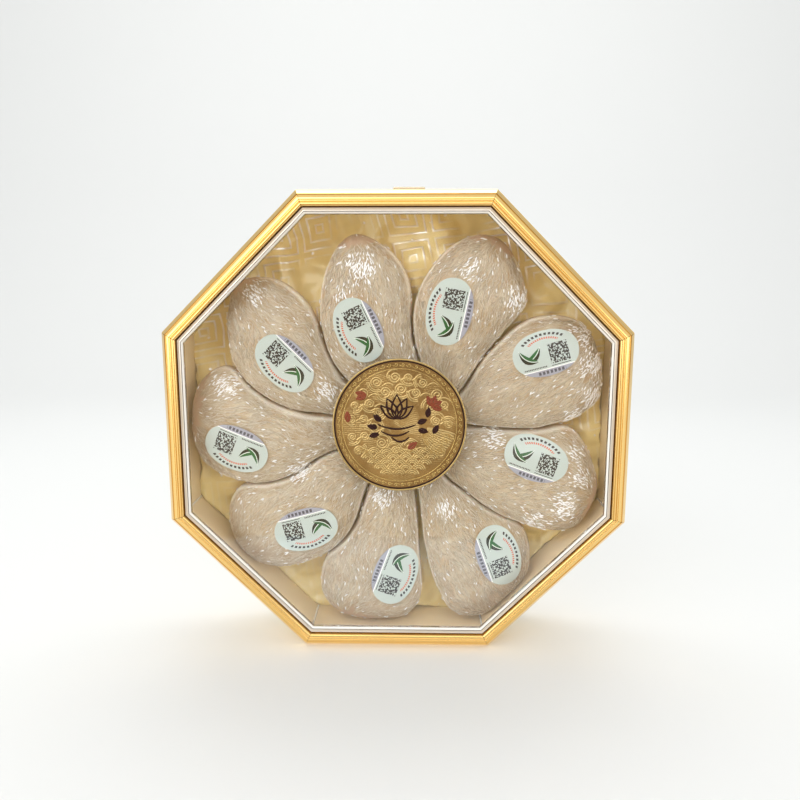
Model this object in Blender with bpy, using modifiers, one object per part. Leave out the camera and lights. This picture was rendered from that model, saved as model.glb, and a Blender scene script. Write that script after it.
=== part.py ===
"""An octagonal gift box of edible bird's nests, standing on its lowest side.

A gold moulding of mitred rails holds the clear window of the lid. Behind it an ivory tray
carries a satin pad, and on the pad nine nests lie like petals round a gold medallion that
is stuck on the window. Each nest carries an oval sticker.

The part stands on Z = 0 with the window facing -Y, and its origin is below its middle.
Plans are drawn in millimetres from the octagon's centre: X to the right and Z up as seen
from the front, and depth from the crest of the moulding towards the back.
"""

import math
from dataclasses import dataclass

import bmesh
import bpy
import numpy as np
from mathutils import Vector
from mathutils.bvhtree import BVHTree

MM = 0.001
SIDES = 8
SIDE_TURN = 2 * math.pi / SIDES
GAP = 0.3

# The box, in millimetres
ACROSS_FLATS = 270.0
DEPTH = 57.0
APOTHEM = ACROSS_FLATS / 2
MOULDING_WIDTH = 9.5
MOULDING_RISE = 6.9
SKIRT_DEPTH = 24.0
SKIRT_THICKNESS = 1.2
LEDGE_WIDTH = 3.0
LEDGE_THICKNESS = 2.0
WINDOW_THICKNESS = 2.5
WINDOW_FACE = 2.4
WINDOW_RIM = 3.8
TRAY_WALL = 4.5
TRAY_FLOOR = 3.6
TRAY_CHAMFER = 1.5
PAD_THICKNESS = 7.6
PAD_ROUNDING = 2.2

# The medallion on the window
MEDALLION_CENTRE = (1.8, 3.1)
MEDALLION_RADIUS = 38.25
MEDALLION_THICKNESS = 1.1
MEDALLION_RIM = 1.4
MEDALLION_RAISE = 0.45
MEDALLION_STEPS = 40

# The small clear tab on the lid's top edge
TAB_SIZE = (18.0, 9.0, 1.5)
TAB_OFFSET = 7.0
TAB_DEPTH = 14.0

# Depths that follow from the sizes above
WINDOW_BACK = WINDOW_FACE + WINDOW_THICKNESS
LEDGE_FACE = WINDOW_BACK + GAP
LEDGE_BACK = LEDGE_FACE + LEDGE_THICKNESS
TRAY_FRONT = LEDGE_BACK + GAP
TRAY_OUTER = APOTHEM - SKIRT_THICKNESS - GAP
TRAY_INNER = TRAY_OUTER - TRAY_WALL
FLOOR_FACE = DEPTH - TRAY_FLOOR
PAD_BACK = FLOOR_FACE - GAP
PAD_FACE = PAD_BACK - PAD_THICKNESS
NEST_BASE = PAD_FACE - GAP

# The nests
NEST_SEGMENTS = 36
NEST_RINGS = (0.94, 0.84, 0.69, 0.5, 0.27)
NEST_TUCK = ((0.97, 0.5), (0.88, 1.0))
NEST_HOLLOW = 3.0
NEST_RIM_DEPTH = 29.0
NEST_CLEARANCE = 0.8
DOME_FLATNESS = 3.0

# The stickers
LABEL_LENGTH = 40.0
LABEL_WIDTH = 27.0
LABEL_THICKNESS = 0.3
LABEL_LIFT = 0.5
LABEL_STIFFNESS = 3.0
LABEL_SEGMENTS = 18
LABEL_RINGS = (0.4, 0.75, 1.0)
LABEL_FULLNESS = 2.2

RAIL_NAMES = ("top", "upper_right", "right", "lower_right", "bottom", "lower_left", "left", "upper_left")


@dataclass(frozen=True)
class Nest:
    """One nest: its outline clockwise from its outer tip, how it leans, and its sticker."""

    outline: tuple
    crown: float
    low_side: float
    lean: float
    label_centre: tuple
    label_heading: float


# The outlines are hand-drawn from the photograph. A nest that lies over its neighbours comes
# before them. low_side is the direction in which the nest dips below its neighbour, in degrees
# from +X towards +Z, and label_heading is the direction of the sticker's length.
NESTS = {
    "nest_3": Nest(
        outline=((124, 24.5), (121, 13), (108.5, 3.5), (84, -3.3), (62, -3), (44, -1), (31, 1),
                 (28, 10), (38, 17), (51, 38), (64, 52.5), (78, 63), (92, 65.7), (106, 63.3),
                 (116, 54.5), (121, 42)),
        crown=14.0, low_side=0.0, lean=0.0, label_centre=(86.6, 43.8), label_heading=15.0),
    "nest_4": Nest(
        outline=((124, -38.5), (121, -51.5), (112, -64.5), (100, -68), (85, -65), (69, -60),
                 (53.5, -52), (42.5, -43), (31, -34.5), (22, -22), (29, -4), (62, -4), (84, -4.5),
                 (103, -1), (113.5, -10), (121.5, -27.5)),
        crown=14.5, low_side=90.0, lean=4.0, label_centre=(83.0, -19.5), label_heading=-20.0),
    "nest_5": Nest(
        outline=((54, -125), (36, -123.5), (24.5, -104.5), (18, -82.5), (14.7, -60.5),
                 (13.5, -46), (11, -32), (21, -25), (31, -36), (51.5, -50), (69, -60),
                 (79, -67), (84, -82), (81.5, -103.5), (68, -121)),
        crown=15.5, low_side=45.0, lean=4.0, label_centre=(62.0, -80.5), label_heading=-70.0),
    "nest_2": Nest(
        outline=((50, 113), (63, 108), (70.5, 97.5), (76, 84), (77.5, 71), (69, 61), (59, 48.5),
                 (50, 36), (40, 18), (27, 13), (13, 26), (15, 36), (11, 46), (9.3, 66),
                 (14, 83), (23.5, 98), (35, 108)),
        crown=14.5, low_side=-30.0, lean=4.0, label_centre=(30.4, 67.6), label_heading=78.0),
    "nest_1": Nest(
        outline=((-25, 113.5), (-11, 108), (0, 99), (7.5, 85), (9.5, 66), (11, 47), (14, 36),
                 (9, 28), (-5, 28), (-20, 20), (-31.5, 27), (-42, 45), (-46, 70), (-42, 92),
                 (-35, 106)),
        crown=15.0, low_side=0.0, lean=4.0, label_centre=(-22.2, 56.8), label_heading=115.0),
    "nest_9": Nest(
        outline=((-95, 85.5), (-81, 88), (-67, 84.5), (-51, 68.5), (-44, 47), (-33, 26),
                 (-23, 17), (-29, 4), (-40, 4), (-64.5, 8), (-83, 17.5), (-97, 33),
                 (-101.5, 50), (-101, 67), (-99, 79)),
        crown=15.0, low_side=10.0, lean=4.0, label_centre=(-65.9, 37.3), label_heading=135.0),
    "nest_8": Nest(
        outline=((-127, -3), (-126, 12), (-122, 24), (-112, 32.5), (-102, 35), (-91, 24),
                 (-79.5, 14), (-64.5, 7), (-40, 3.5), (-29, 2), (-27, -13), (-44, -19),
                 (-65, -33), (-82.5, -38), (-103, -35.5), (-118, -27), (-125, -16)),
        crown=15.0, low_side=80.0, lean=4.0, label_centre=(-96.3, -14.1), label_heading=158.0),
    "nest_7": Nest(
        outline=((-105, -49.5), (-97, -40), (-82.5, -37), (-65, -33), (-46, -19), (-27, -15),
                 (-15, -28), (-20, -43), (-27.5, -66), (-41.5, -81.5), (-63, -91),
                 (-82, -92.5), (-95, -85.5), (-103, -74.5), (-106.5, -61.5)),
        crown=14.5, low_side=100.0, lean=4.0, label_centre=(-55.3, -64.0), label_heading=-165.0),
    "nest_6": Nest(
        outline=((-15, -126.5), (-36, -122.5), (-48, -111), (-47, -90), (-33, -69.5),
                 (-21, -50), (-14, -30), (7, -32), (12, -54), (14, -82), (15.5, -108),
                 (8, -122)),
        crown=15.0, low_side=110.0, lean=6.0, label_centre=(-1.2, -93.0), label_heading=-110.0),
}


def clear_scene():
    """Removes every object of the scene."""
    for thing in list(bpy.data.objects):
        bpy.data.objects.remove(thing, do_unlink=True)


def material(name, color, roughness, metallic=0.0, transmission=0.0):
    """A Principled BSDF material of one colour."""
    made = bpy.data.materials.new(name)
    made.use_nodes = True
    shader = made.node_tree.nodes["Principled BSDF"]
    shader.inputs["Base Color"].default_value = (*color, 1.0)
    shader.inputs["Roughness"].default_value = roughness
    shader.inputs["Metallic"].default_value = metallic
    shader.inputs["Transmission Weight"].default_value = transmission
    made.diffuse_color = (*color, 1.0)
    return made


def add_object(name, mesh, finish, home):
    """An object for the mesh, with its material, in the part's collection."""
    made = bpy.data.objects.new(name, mesh)
    home.objects.link(made)
    if not mesh.materials:
        mesh.materials.append(finish)
    return made


def at_depth(x, z, depth):
    """A point of the plan, in metres in the part's frame."""
    return Vector((x * MM, (depth - DEPTH / 2) * MM, (APOTHEM + z) * MM))


def turned(name, profile, steps, finish, home, centre=(0.0, 0.0)):
    """A piece turned about the line of sight from (apothem, depth) points, front to back.

    With eight steps it is octagonal, with one flat side below.
    """
    half = math.pi / steps
    mesh = bpy.data.meshes.new(name)
    points = [(a * MM, a * math.tan(half) * MM, -depth * MM) for a, depth in profile]
    edges = [(i, i + 1) for i in range(len(points) - 1)]
    mesh.from_pydata(points, edges, [])
    made = add_object(name, mesh, finish, home)
    screw = made.modifiers.new("turn", "SCREW")
    screw.axis = "Z"
    screw.angle = 2 * math.pi
    screw.steps = steps
    screw.render_steps = steps
    screw.use_merge_vertices = True
    screw.merge_threshold = 1e-5
    screw.use_smooth_shade = False
    made.rotation_euler.x = math.pi / 2
    made.location = at_depth(*centre, 0.0)
    return made


def moulding_profile():
    """The rail's section as (inset from the outer flat, depth): a round band, a groove and a bead."""
    band_width = 5.4
    band_height = 4.6
    band = []
    for turn in np.linspace(0.0, math.pi / 2, 5):
        inset = band_width * (1 - math.cos(turn))
        band.append((inset, MOULDING_RISE - band_height * math.sin(turn)))
    groove = [(5.9, 2.9)]
    bead = [(6.2, 1.4), (7.0, 0.4), (8.2, 0.0), (9.1, 0.25), (MOULDING_WIDTH, 0.9)]
    ledge_edge = MOULDING_WIDTH + LEDGE_WIDTH
    ledge = [(MOULDING_WIDTH, LEDGE_FACE), (ledge_edge, LEDGE_FACE), (ledge_edge, LEDGE_BACK)]
    skirt = [(SKIRT_THICKNESS, LEDGE_BACK), (SKIRT_THICKNESS, SKIRT_DEPTH), (0.0, SKIRT_DEPTH)]
    return band + groove + bead + ledge + skirt


def rail_mesh():
    """The top rail about the octagon's centre, its section extruded between two mitres."""
    work = bmesh.new()
    section = [work.verts.new((-1.0, depth, inset)) for inset, depth in moulding_profile()]
    face = work.faces.new(section)
    moved = bmesh.ops.extrude_face_region(work, geom=[face])["geom"]
    for vert in moved:
        if isinstance(vert, bmesh.types.BMVert):
            vert.co.x = 1.0
    mitre_gap = GAP / 2 / math.cos(SIDE_TURN / 2)
    for vert in work.verts:
        side, depth, inset = vert.co
        reach = (APOTHEM - inset) * math.tan(SIDE_TURN / 2) - mitre_gap
        vert.co = Vector((side * reach * MM, (depth - DEPTH / 2) * MM, (APOTHEM - inset) * MM))
    bmesh.ops.recalc_face_normals(work, faces=work.faces)
    mesh = bpy.data.meshes.new("rail")
    work.to_mesh(mesh)
    work.free()
    mesh.shade_smooth()
    mesh.set_sharp_from_angle(angle=math.radians(35))
    return mesh


def add_rails(finish, home):
    """The eight mitred rails, clockwise from the top."""
    mesh = rail_mesh()
    for index, place in enumerate(RAIL_NAMES):
        rail = add_object("rail_" + place, mesh, finish, home)
        rail.rotation_euler.y = index * SIDE_TURN
        rail.location.z = APOTHEM * MM


def add_window(finish, home):
    """The clear window, with a bevelled rim that stands inside the moulding."""
    outer = APOTHEM - MOULDING_WIDTH - GAP
    inner = outer - WINDOW_RIM
    bevel = [(inner + 0.5, 1.6), (inner + 2.0, 0.9), (outer, 0.6)]
    profile = [(0.0, WINDOW_FACE), (inner, WINDOW_FACE), *bevel, (outer, WINDOW_BACK), (0.0, WINDOW_BACK)]
    turned("lid_window", profile, SIDES, finish, home)


def add_tray(finish, home):
    """The ivory tray, stepped where the lid's skirt slides over it."""
    step = SKIRT_DEPTH + GAP
    profile = [
        (0.0, FLOOR_FACE),
        (TRAY_INNER, FLOOR_FACE),
        (TRAY_INNER, TRAY_FRONT),
        (TRAY_OUTER, TRAY_FRONT),
        (TRAY_OUTER, step),
        (APOTHEM, step),
        (APOTHEM, DEPTH - TRAY_CHAMFER),
        (APOTHEM - TRAY_CHAMFER, DEPTH),
        (0.0, DEPTH),
    ]
    turned("tray", profile, SIDES, finish, home)


def add_pad(finish, home):
    """The satin pad on the tray's floor, with a rounded edge."""
    outer = TRAY_INNER - GAP
    rounding = []
    for turn in np.linspace(0.0, math.pi / 2, 4):
        apothem = outer - PAD_ROUNDING * (1 - math.sin(turn))
        rounding.append((apothem, PAD_FACE + PAD_ROUNDING * (1 - math.cos(turn))))
    turned("satin_pad", [(0.0, PAD_FACE), *rounding, (outer, PAD_BACK), (0.0, PAD_BACK)], SIDES, finish, home)


def add_medallion(finish, home):
    """The round plaque on the window, with a raised rim and a low boss."""
    back = WINDOW_FACE - GAP
    face = back - MEDALLION_THICKNESS
    rim_edge = MEDALLION_RADIUS - MEDALLION_RIM
    raised = face - MEDALLION_RAISE
    profile = [
        (0.0, raised),
        (9.0, face - 0.35),
        (12.0, face),
        (rim_edge - 0.4, face),
        (rim_edge, raised),
        (MEDALLION_RADIUS - 0.3, raised),
        (MEDALLION_RADIUS, face),
        (MEDALLION_RADIUS, back),
        (0.0, back),
    ]
    made = turned("medallion", profile, MEDALLION_STEPS, finish, home, MEDALLION_CENTRE)
    made.modifiers["turn"].use_smooth_shade = True


def add_tab(finish, home):
    """The clear tab that stands on the top rail."""
    bpy.ops.mesh.primitive_cube_add(size=1.0)
    tab = bpy.context.object
    tab.name = "lid_tab"
    tab.data.name = "lid_tab"
    width, depth, height = TAB_SIZE
    for vert in tab.data.vertices:
        vert.co = Vector((vert.co.x * width, vert.co.y * depth, vert.co.z * height)) * MM
    tab.location = at_depth(TAB_OFFSET, APOTHEM + GAP + height / 2, TAB_DEPTH)
    tab.data.materials.append(finish)
    for owner in list(tab.users_collection):
        owner.objects.unlink(tab)
    home.objects.link(tab)
    bevel = tab.modifiers.new("soft edges", "BEVEL")
    bevel.width = 0.5 * MM
    bevel.segments = 2


def smooth_loop(points, count):
    """A closed Catmull-Rom curve through the points, cut into evenly spaced steps."""
    known = np.array(points, float)
    fine = []
    for index in range(len(known)):
        a, b, c, d = (known[(index + k) % len(known)] for k in (-1, 0, 1, 2))
        for t in np.linspace(0.0, 1.0, 12, endpoint=False):
            slope = (c - a) * t + (2 * a - 5 * b + 4 * c - d) * t * t
            fine.append(b + (slope + (3 * b - a - 3 * c + d) * t ** 3) / 2)
    fine = np.array(fine)
    steps = np.linalg.norm(np.roll(fine, -1, axis=0) - fine, axis=1)
    reach = np.concatenate([[0.0], np.cumsum(steps)])
    closed = np.vstack([fine, fine[:1]])
    wanted = np.linspace(0.0, reach[-1], count, endpoint=False)
    return np.stack([np.interp(wanted, reach, closed[:, axis]) for axis in range(2)], 1)


def nearest_on(loop, point):
    """The nearest point of a clockwise loop, its outward normal, and the signed distance from it."""
    ends = np.roll(loop, -1, axis=0)
    along = ends - loop
    share = ((point - loop) * along).sum(axis=1) / (along ** 2).sum(axis=1)
    foot = loop + along * np.clip(share, 0.0, 1.0)[:, None]
    away = point - foot
    best = int(np.argmin((away ** 2).sum(axis=1)))
    outward = np.array([-along[best][1], along[best][0]]) / np.linalg.norm(along[best])
    return foot[best], outward, float(away[best] @ outward)


def clear_of(loop, others):
    """The loop with each point that would lie under another nest moved to just outside it."""
    moved = loop.copy()
    for other in others:
        for index, point in enumerate(moved):
            foot, outward, distance = nearest_on(other, point)
            if distance < NEST_CLEARANCE and np.linalg.norm(point - foot) < 14.0:
                moved[index] = foot + outward * NEST_CLEARANCE
    return moved


def inside_tray(loop):
    """The loop with each point held a little inside the eight walls."""
    held = loop.copy()
    for side in range(SIDES):
        normal = np.array([math.cos(side * SIDE_TURN), math.sin(side * SIDE_TURN)])
        past = np.maximum(held @ normal - (TRAY_INNER - NEST_CLEARANCE), 0.0)
        held -= past[:, None] * normal
    return held


def nest_sections(nest, loop):
    """The rings of the nest from its hollow back over its widest line to its crown."""
    middle = loop.mean(axis=0)
    heading = np.arctan2(loop[:, 1] - middle[1], loop[:, 0] - middle[0])
    rim = NEST_RIM_DEPTH + nest.lean * np.cos(heading - math.radians(nest.low_side))
    rings = []
    for share, drop in reversed(NEST_TUCK):
        rings.append((share, rim + (NEST_BASE - rim) * drop))
    rings.append((1.0, rim))
    for share in NEST_RINGS:
        fall = 1 - math.sqrt(1 - share ** DOME_FLATNESS)
        rings.append((share, nest.crown + (rim - nest.crown) * fall))
    sections = []
    for share, depth in rings:
        flat = middle + (loop - middle) * share
        sections.append([at_depth(x, z, d) for (x, z), d in zip(flat, depth)])
    hollow = at_depth(*middle, NEST_BASE - NEST_HOLLOW)
    crown = at_depth(*middle, nest.crown)
    return hollow, sections, crown


def loft(name, hollow, sections, crown):
    """A closed mesh through equal rings, with a fan of faces at each end."""
    work = bmesh.new()
    rings = [[work.verts.new(point) for point in section] for section in sections]
    first, last = work.verts.new(hollow), work.verts.new(crown)
    count = len(rings[0])
    for index in range(count):
        after = (index + 1) % count
        work.faces.new((first, rings[0][index], rings[0][after]))
        work.faces.new((last, rings[-1][after], rings[-1][index]))
        for low, high in zip(rings, rings[1:]):
            work.faces.new((low[index], high[index], high[after], low[after]))
    bmesh.ops.recalc_face_normals(work, faces=work.faces)
    mesh = bpy.data.meshes.new(name)
    work.to_mesh(mesh)
    work.free()
    mesh.shade_smooth()
    return mesh


def add_nest(name, nest, loop, finish, home):
    """One nest as a domed solid with a hollow back."""
    mesh = loft(name, *nest_sections(nest, loop))
    add_object(name, mesh, finish, home)
    return mesh


def surface_depth(tree, x, z):
    """The least depth of the nest around a point of the plan, because paper spans its dips."""
    depths = []
    for turn in np.linspace(0.0, 2 * math.pi, 8, endpoint=False):
        for reach in (0.0, LABEL_STIFFNESS):
            start = at_depth(x + reach * math.cos(turn), z + reach * math.sin(turn), 0.0)
            hit = tree.ray_cast(start, Vector((0.0, 1.0, 0.0)))[0]
            if hit is not None:
                depths.append(hit.y / MM + DEPTH / 2)
    return min(depths)


def add_label(name, nest, mesh, finish, home):
    """The oval sticker, bent over its nest."""
    triangles = [tuple(face.vertices) for face in mesh.polygons]
    tree = BVHTree.FromPolygons([vert.co for vert in mesh.vertices], triangles)
    turn = math.radians(nest.label_heading)
    along = np.array([math.cos(turn), math.sin(turn)])
    across = np.array([-along[1], along[0]])
    middle = np.array(nest.label_centre)
    sheet = []
    for share in LABEL_RINGS:
        ring = []
        for angle in np.linspace(0.0, 2 * math.pi, LABEL_SEGMENTS, endpoint=False):
            x, y = math.cos(angle), math.sin(angle)
            full = (abs(x) ** LABEL_FULLNESS + abs(y) ** LABEL_FULLNESS) ** (-1 / LABEL_FULLNESS)
            spot = middle + share * full * (along * x * LABEL_LENGTH + across * y * LABEL_WIDTH) / 2
            ring.append((*spot, surface_depth(tree, *spot) - LABEL_LIFT))
        sheet.append(ring)
    back = [[at_depth(x, z, depth) for x, z, depth in ring] for ring in sheet]
    front = [[at_depth(x, z, depth - LABEL_THICKNESS) for x, z, depth in ring] for ring in reversed(sheet)]
    level = surface_depth(tree, *middle) - LABEL_LIFT
    ends = at_depth(*middle, level), at_depth(*middle, level - LABEL_THICKNESS)
    add_object(name, loft(name, ends[0], back + front, ends[1]), finish, home)


def build():
    """Builds the box from its frame inwards."""
    clear_scene()
    home = bpy.data.collections.new("birds_nest_gift_box")
    bpy.context.scene.collection.children.link(home)
    gold = material("polished gold plating", (0.83, 0.56, 0.16), 0.16, metallic=1.0)
    clear = material("clear acrylic", (0.95, 0.96, 0.95), 0.03, transmission=1.0)
    ivory = material("ivory plastic", (0.72, 0.6, 0.42), 0.35)
    satin = material("pale yellow satin", (0.78, 0.66, 0.33), 0.45)
    strands = material("dried nest strands", (0.66, 0.53, 0.4), 0.5)
    paper = material("sticker paper", (0.72, 0.8, 0.77), 0.4)
    brass = material("gold foil relief", (0.6, 0.42, 0.17), 0.3, metallic=1.0)
    add_rails(gold, home)
    add_window(clear, home)
    add_tab(clear, home)
    add_tray(ivory, home)
    add_pad(satin, home)
    add_medallion(brass, home)
    placed = []
    for name, nest in NESTS.items():
        loop = inside_tray(clear_of(smooth_loop(nest.outline, NEST_SEGMENTS), placed))
        placed.append(loop)
        mesh = add_nest(name, nest, loop, strands, home)
        add_label(name.replace("nest", "label"), nest, mesh, paper, home)


build()
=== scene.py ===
"""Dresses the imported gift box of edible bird's nests for its portrait.

Plans are in millimetres from the octagon's centre, X to the right and Z up as seen from the
front, and depth runs from the crest of the moulding backwards, as in the part's own drawing.
"""

import logging
import math
from contextlib import contextmanager
from dataclasses import dataclass, field
from enum import Enum
from typing import Any, Iterable, Iterator

import bmesh
import bpy
import numpy as np
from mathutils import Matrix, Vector, noise
from mathutils.bvhtree import BVHTree
from mathutils.kdtree import KDTree


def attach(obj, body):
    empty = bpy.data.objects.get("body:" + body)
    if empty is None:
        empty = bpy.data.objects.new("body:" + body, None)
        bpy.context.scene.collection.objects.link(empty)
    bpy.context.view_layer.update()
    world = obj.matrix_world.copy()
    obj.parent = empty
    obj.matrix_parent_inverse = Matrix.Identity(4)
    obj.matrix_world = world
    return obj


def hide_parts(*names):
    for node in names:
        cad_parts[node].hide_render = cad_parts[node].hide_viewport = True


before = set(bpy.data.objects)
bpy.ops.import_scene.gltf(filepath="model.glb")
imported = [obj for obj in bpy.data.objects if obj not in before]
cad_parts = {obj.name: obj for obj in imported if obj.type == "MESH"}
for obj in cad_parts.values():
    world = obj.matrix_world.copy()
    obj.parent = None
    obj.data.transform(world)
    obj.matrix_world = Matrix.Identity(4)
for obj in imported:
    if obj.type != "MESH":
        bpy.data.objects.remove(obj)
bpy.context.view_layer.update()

LOG = logging.getLogger("gift box")
MM = 0.001
DEPTH = 57.0
APOTHEM = 135.0
SIDES = 8
HALF_TURN = math.pi / SIDES
BODY = "root"
# Points closer than this, in metres, are one point
DOUBLES = 1e-6

# The node types used most
MATH, VECTOR, RANGE, MIX = "ShaderNodeMath", "ShaderNodeVectorMath", "ShaderNodeMapRange", "ShaderNodeMix"
NOISE, BUMP, STORED = "ShaderNodeTexNoise", "ShaderNodeBump", "ShaderNodeAttribute"
NAMED, REAL, PAINTED = "GeometryNodeInputNamedAttribute", "GeometryNodeRealizeInstances", "GeometryNodeSetMaterial"


class Slot(Enum):
    """The record's material slots."""

    GOLD = "gold"
    CLEAR = "clear"
    FOIL = "foil"
    IVORY = "ivory"
    SATIN = "satin"
    STRANDS = "strands"
    PAPER = "paper"


def tone(code: str) -> tuple[float, float, float, float]:
    """Turns an sRGB hex colour into linear values.

    Args:
        code: The colour as six hex digits after a hash.

    Returns:
        Linear red, green and blue, and an alpha of one.
    """
    levels = [int(code[i:i + 2], 16) / 255 for i in (1, 3, 5)]
    linear = [v / 12.92 if v <= 0.04045 else ((v + 0.055) / 1.055) ** 2.4 for v in levels]
    return (*linear, 1.0)


def spot(x: float, z: float, depth: float) -> Vector:
    """A point of the plan at a depth, in metres in the part's frame."""
    return Vector((x * MM, (depth - DEPTH / 2) * MM, (APOTHEM + z) * MM))


def plan_of(points: np.ndarray) -> np.ndarray:
    """The plan's x, z and depth in millimetres of points in metres, as an array of rows."""
    return np.stack([points[:, 0] / MM, points[:, 2] / MM - APOTHEM, points[:, 1] / MM + DEPTH / 2], 1)


def add(tree: bpy.types.NodeTree, kind: str, inputs: dict[Any, Any] | None = None, **settings: Any) -> bpy.types.Node:
    """Adds a node with its settings, and links or sets its inputs.

    Args:
        tree: The tree that the node goes into.
        kind: The node's type name.
        inputs: What its inputs are given, as for feed.
        **settings: The node's own properties.

    Returns:
        The new node.
    """
    node = tree.nodes.new(kind)
    for name, value in settings.items():
        setattr(node, name, value)
    feed(node, inputs or {})
    return node


def feed(node: bpy.types.Node, inputs: dict[Any, Any]) -> None:
    """Links or sets a node's inputs.

    Args:
        node: The node.
        inputs: For each input's name or number a plain value, a socket, or a node that gives its first output.
    """
    for name, value in inputs.items():
        if isinstance(value, bpy.types.Node):
            value = value.outputs[0]
        if isinstance(value, bpy.types.NodeSocket):
            node.id_data.links.new(value, node.inputs[name])
        else:
            node.inputs[name].default_value = value


def new_object(name: str, mesh: bpy.types.Mesh) -> bpy.types.Object:
    """Puts a mesh into the scene under the name."""
    mesh.name = name
    made = bpy.data.objects.new(name, mesh)
    bpy.context.scene.collection.objects.link(made)
    return made


@contextmanager
def reworked(mesh: bpy.types.Mesh) -> Iterator[bmesh.types.BMesh]:
    """Opens a mesh for bmesh operators, and writes it back afterwards."""
    work = bmesh.new()
    work.from_mesh(mesh)
    yield work
    work.to_mesh(mesh)
    work.free()


def mesh_of(name: str, points: Iterable, faces: Iterable) -> bpy.types.Mesh:
    """Makes a mesh from points and faces, with its doubles merged and its faces turned outwards.

    Args:
        name: The mesh's name.
        points: The points in metres.
        faces: The faces as tuples of point numbers.

    Returns:
        The mesh.
    """
    mesh = bpy.data.meshes.new(name)
    mesh.from_pydata([tuple(p) for p in points], [], [tuple(f) for f in faces])
    with reworked(mesh) as work:
        bmesh.ops.remove_doubles(work, verts=work.verts, dist=DOUBLES)
        bmesh.ops.recalc_face_normals(work, faces=work.faces)
    return mesh


def rows_of(mesh: bpy.types.Mesh, name: str = "co") -> np.ndarray:
    """Reads the places, or another vector, of a mesh's points as an array of rows."""
    values = np.empty(len(mesh.vertices) * 3)
    mesh.vertices.foreach_get(name, values)
    return values.reshape(-1, 3)


def store(mesh: bpy.types.Mesh, **values: np.ndarray) -> None:
    """Stores numbers or vectors on a mesh's points, under their names."""
    for name, value in values.items():
        kind, key = ("FLOAT", "value") if value.ndim == 1 else ("FLOAT_VECTOR", "vector")
        mesh.attributes.new(name, kind, "POINT").data.foreach_set(key, value.astype(np.float32).ravel())


def lay_map(mesh: bpy.types.Mesh, name: str, places: np.ndarray) -> None:
    """Gives a mesh a map, from the place in the map of each of its points."""
    loops = np.empty(len(mesh.loops), int)
    mesh.loops.foreach_get("vertex_index", loops)
    mesh.uv_layers.new(name=name).data.foreach_set("uv", places[loops].astype(np.float32).ravel())


def circle_of(turns: np.ndarray) -> np.ndarray:
    """Points of a circle of radius one, at angles in radians."""
    return np.stack([np.cos(turns), np.sin(turns)], 1)


def soften(mesh: bpy.types.Mesh, angle: float = 30.0) -> None:
    """Shades a mesh smooth apart from its edges sharper than the angle in degrees."""
    mesh.shade_smooth()
    mesh.set_sharp_from_angle(angle=math.radians(angle))


def settled(obj: bpy.types.Object) -> bpy.types.Object:
    """Applies an object's modifiers and leaves a plain mesh of the same name.

    Args:
        obj: The object, which is removed.

    Returns:
        The new object.
    """
    name = obj.name
    graph = bpy.context.evaluated_depsgraph_get()
    mesh = bpy.data.meshes.new_from_object(obj.evaluated_get(graph), depsgraph=graph)
    bpy.data.objects.remove(obj, do_unlink=True)
    return new_object(name, mesh)


def show(piece: bpy.types.Object, slot: Slot, *nodes: str) -> bpy.types.Object:
    """Lets a piece ride on the box, hides the nodes that it stands for, and logs it with its slot.

    Args:
        piece: The piece.
        slot: Its material slot.
        *nodes: The nodes that it replaces, if any.

    Returns:
        The piece.
    """
    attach(piece, BODY)
    if nodes:
        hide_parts(*nodes)
    LOG.info("%s: %d faces, slot %s", piece.name, len(piece.data.polygons), slot.value)
    return piece


def octagon(apothem: float, corner: float, steps: int) -> list[tuple[float, float]]:
    """The outline of an octagon that stands on a side, with rounded corners.

    Args:
        apothem: From the centre to a side, in millimetres.
        corner: The corners' radius in millimetres.
        steps: The number of steps round each corner.

    Returns:
        The points as (x, z), anticlockwise.
    """
    reach = (apothem - corner) / math.cos(HALF_TURN)
    points = []
    for index in range(SIDES):
        middle = HALF_TURN * (2 * index + 1)
        for step in range(steps + 1):
            turn = middle + HALF_TURN * (2 * step / steps - 1)
            points.append((reach * math.cos(middle) + corner * math.cos(turn),
                           reach * math.sin(middle) + corner * math.sin(turn)))
    return points


def octagonal(name: str, profile: list[tuple[float, float, float]], steps: int = 3,
              closed: bool = False) -> bpy.types.Mesh:
    """Sweeps a section round the octagon.

    Args:
        name: The mesh's name.
        profile: (apothem, depth, corner radius) of each point, in millimetres.
        steps: The number of steps round each corner.
        closed: True for a ring whose last point joins its first. Otherwise both ends are capped.

    Returns:
        The mesh.
    """
    rings = [[spot(x, z, depth) for x, z in octagon(apothem, corner, steps)] for apothem, depth, corner in profile]
    count = len(rings[0])
    points = [point for ring in rings for point in ring]
    faces = []
    for index in range(len(rings) if closed else len(rings) - 1):
        low, high = index * count, (index + 1) % len(rings) * count
        for k in range(count):
            after = (k + 1) % count
            faces.append((low + k, low + after, high + after, high + k))
    if not closed:
        faces += [tuple(range(count)), tuple(range(len(points) - count, len(points)))]
    return mesh_of(name, points, faces)


def swept_arc(centre: tuple[float, float], radii: tuple[float, float], start: float, end: float,
              steps: int) -> list[tuple[float, float]]:
    """Points of an elliptical arc, with its angles in degrees."""
    turns = np.radians(np.linspace(start, end, steps + 1))
    return [(centre[0] + radii[0] * math.cos(t), centre[1] + radii[1] * math.sin(t)) for t in turns]


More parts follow.
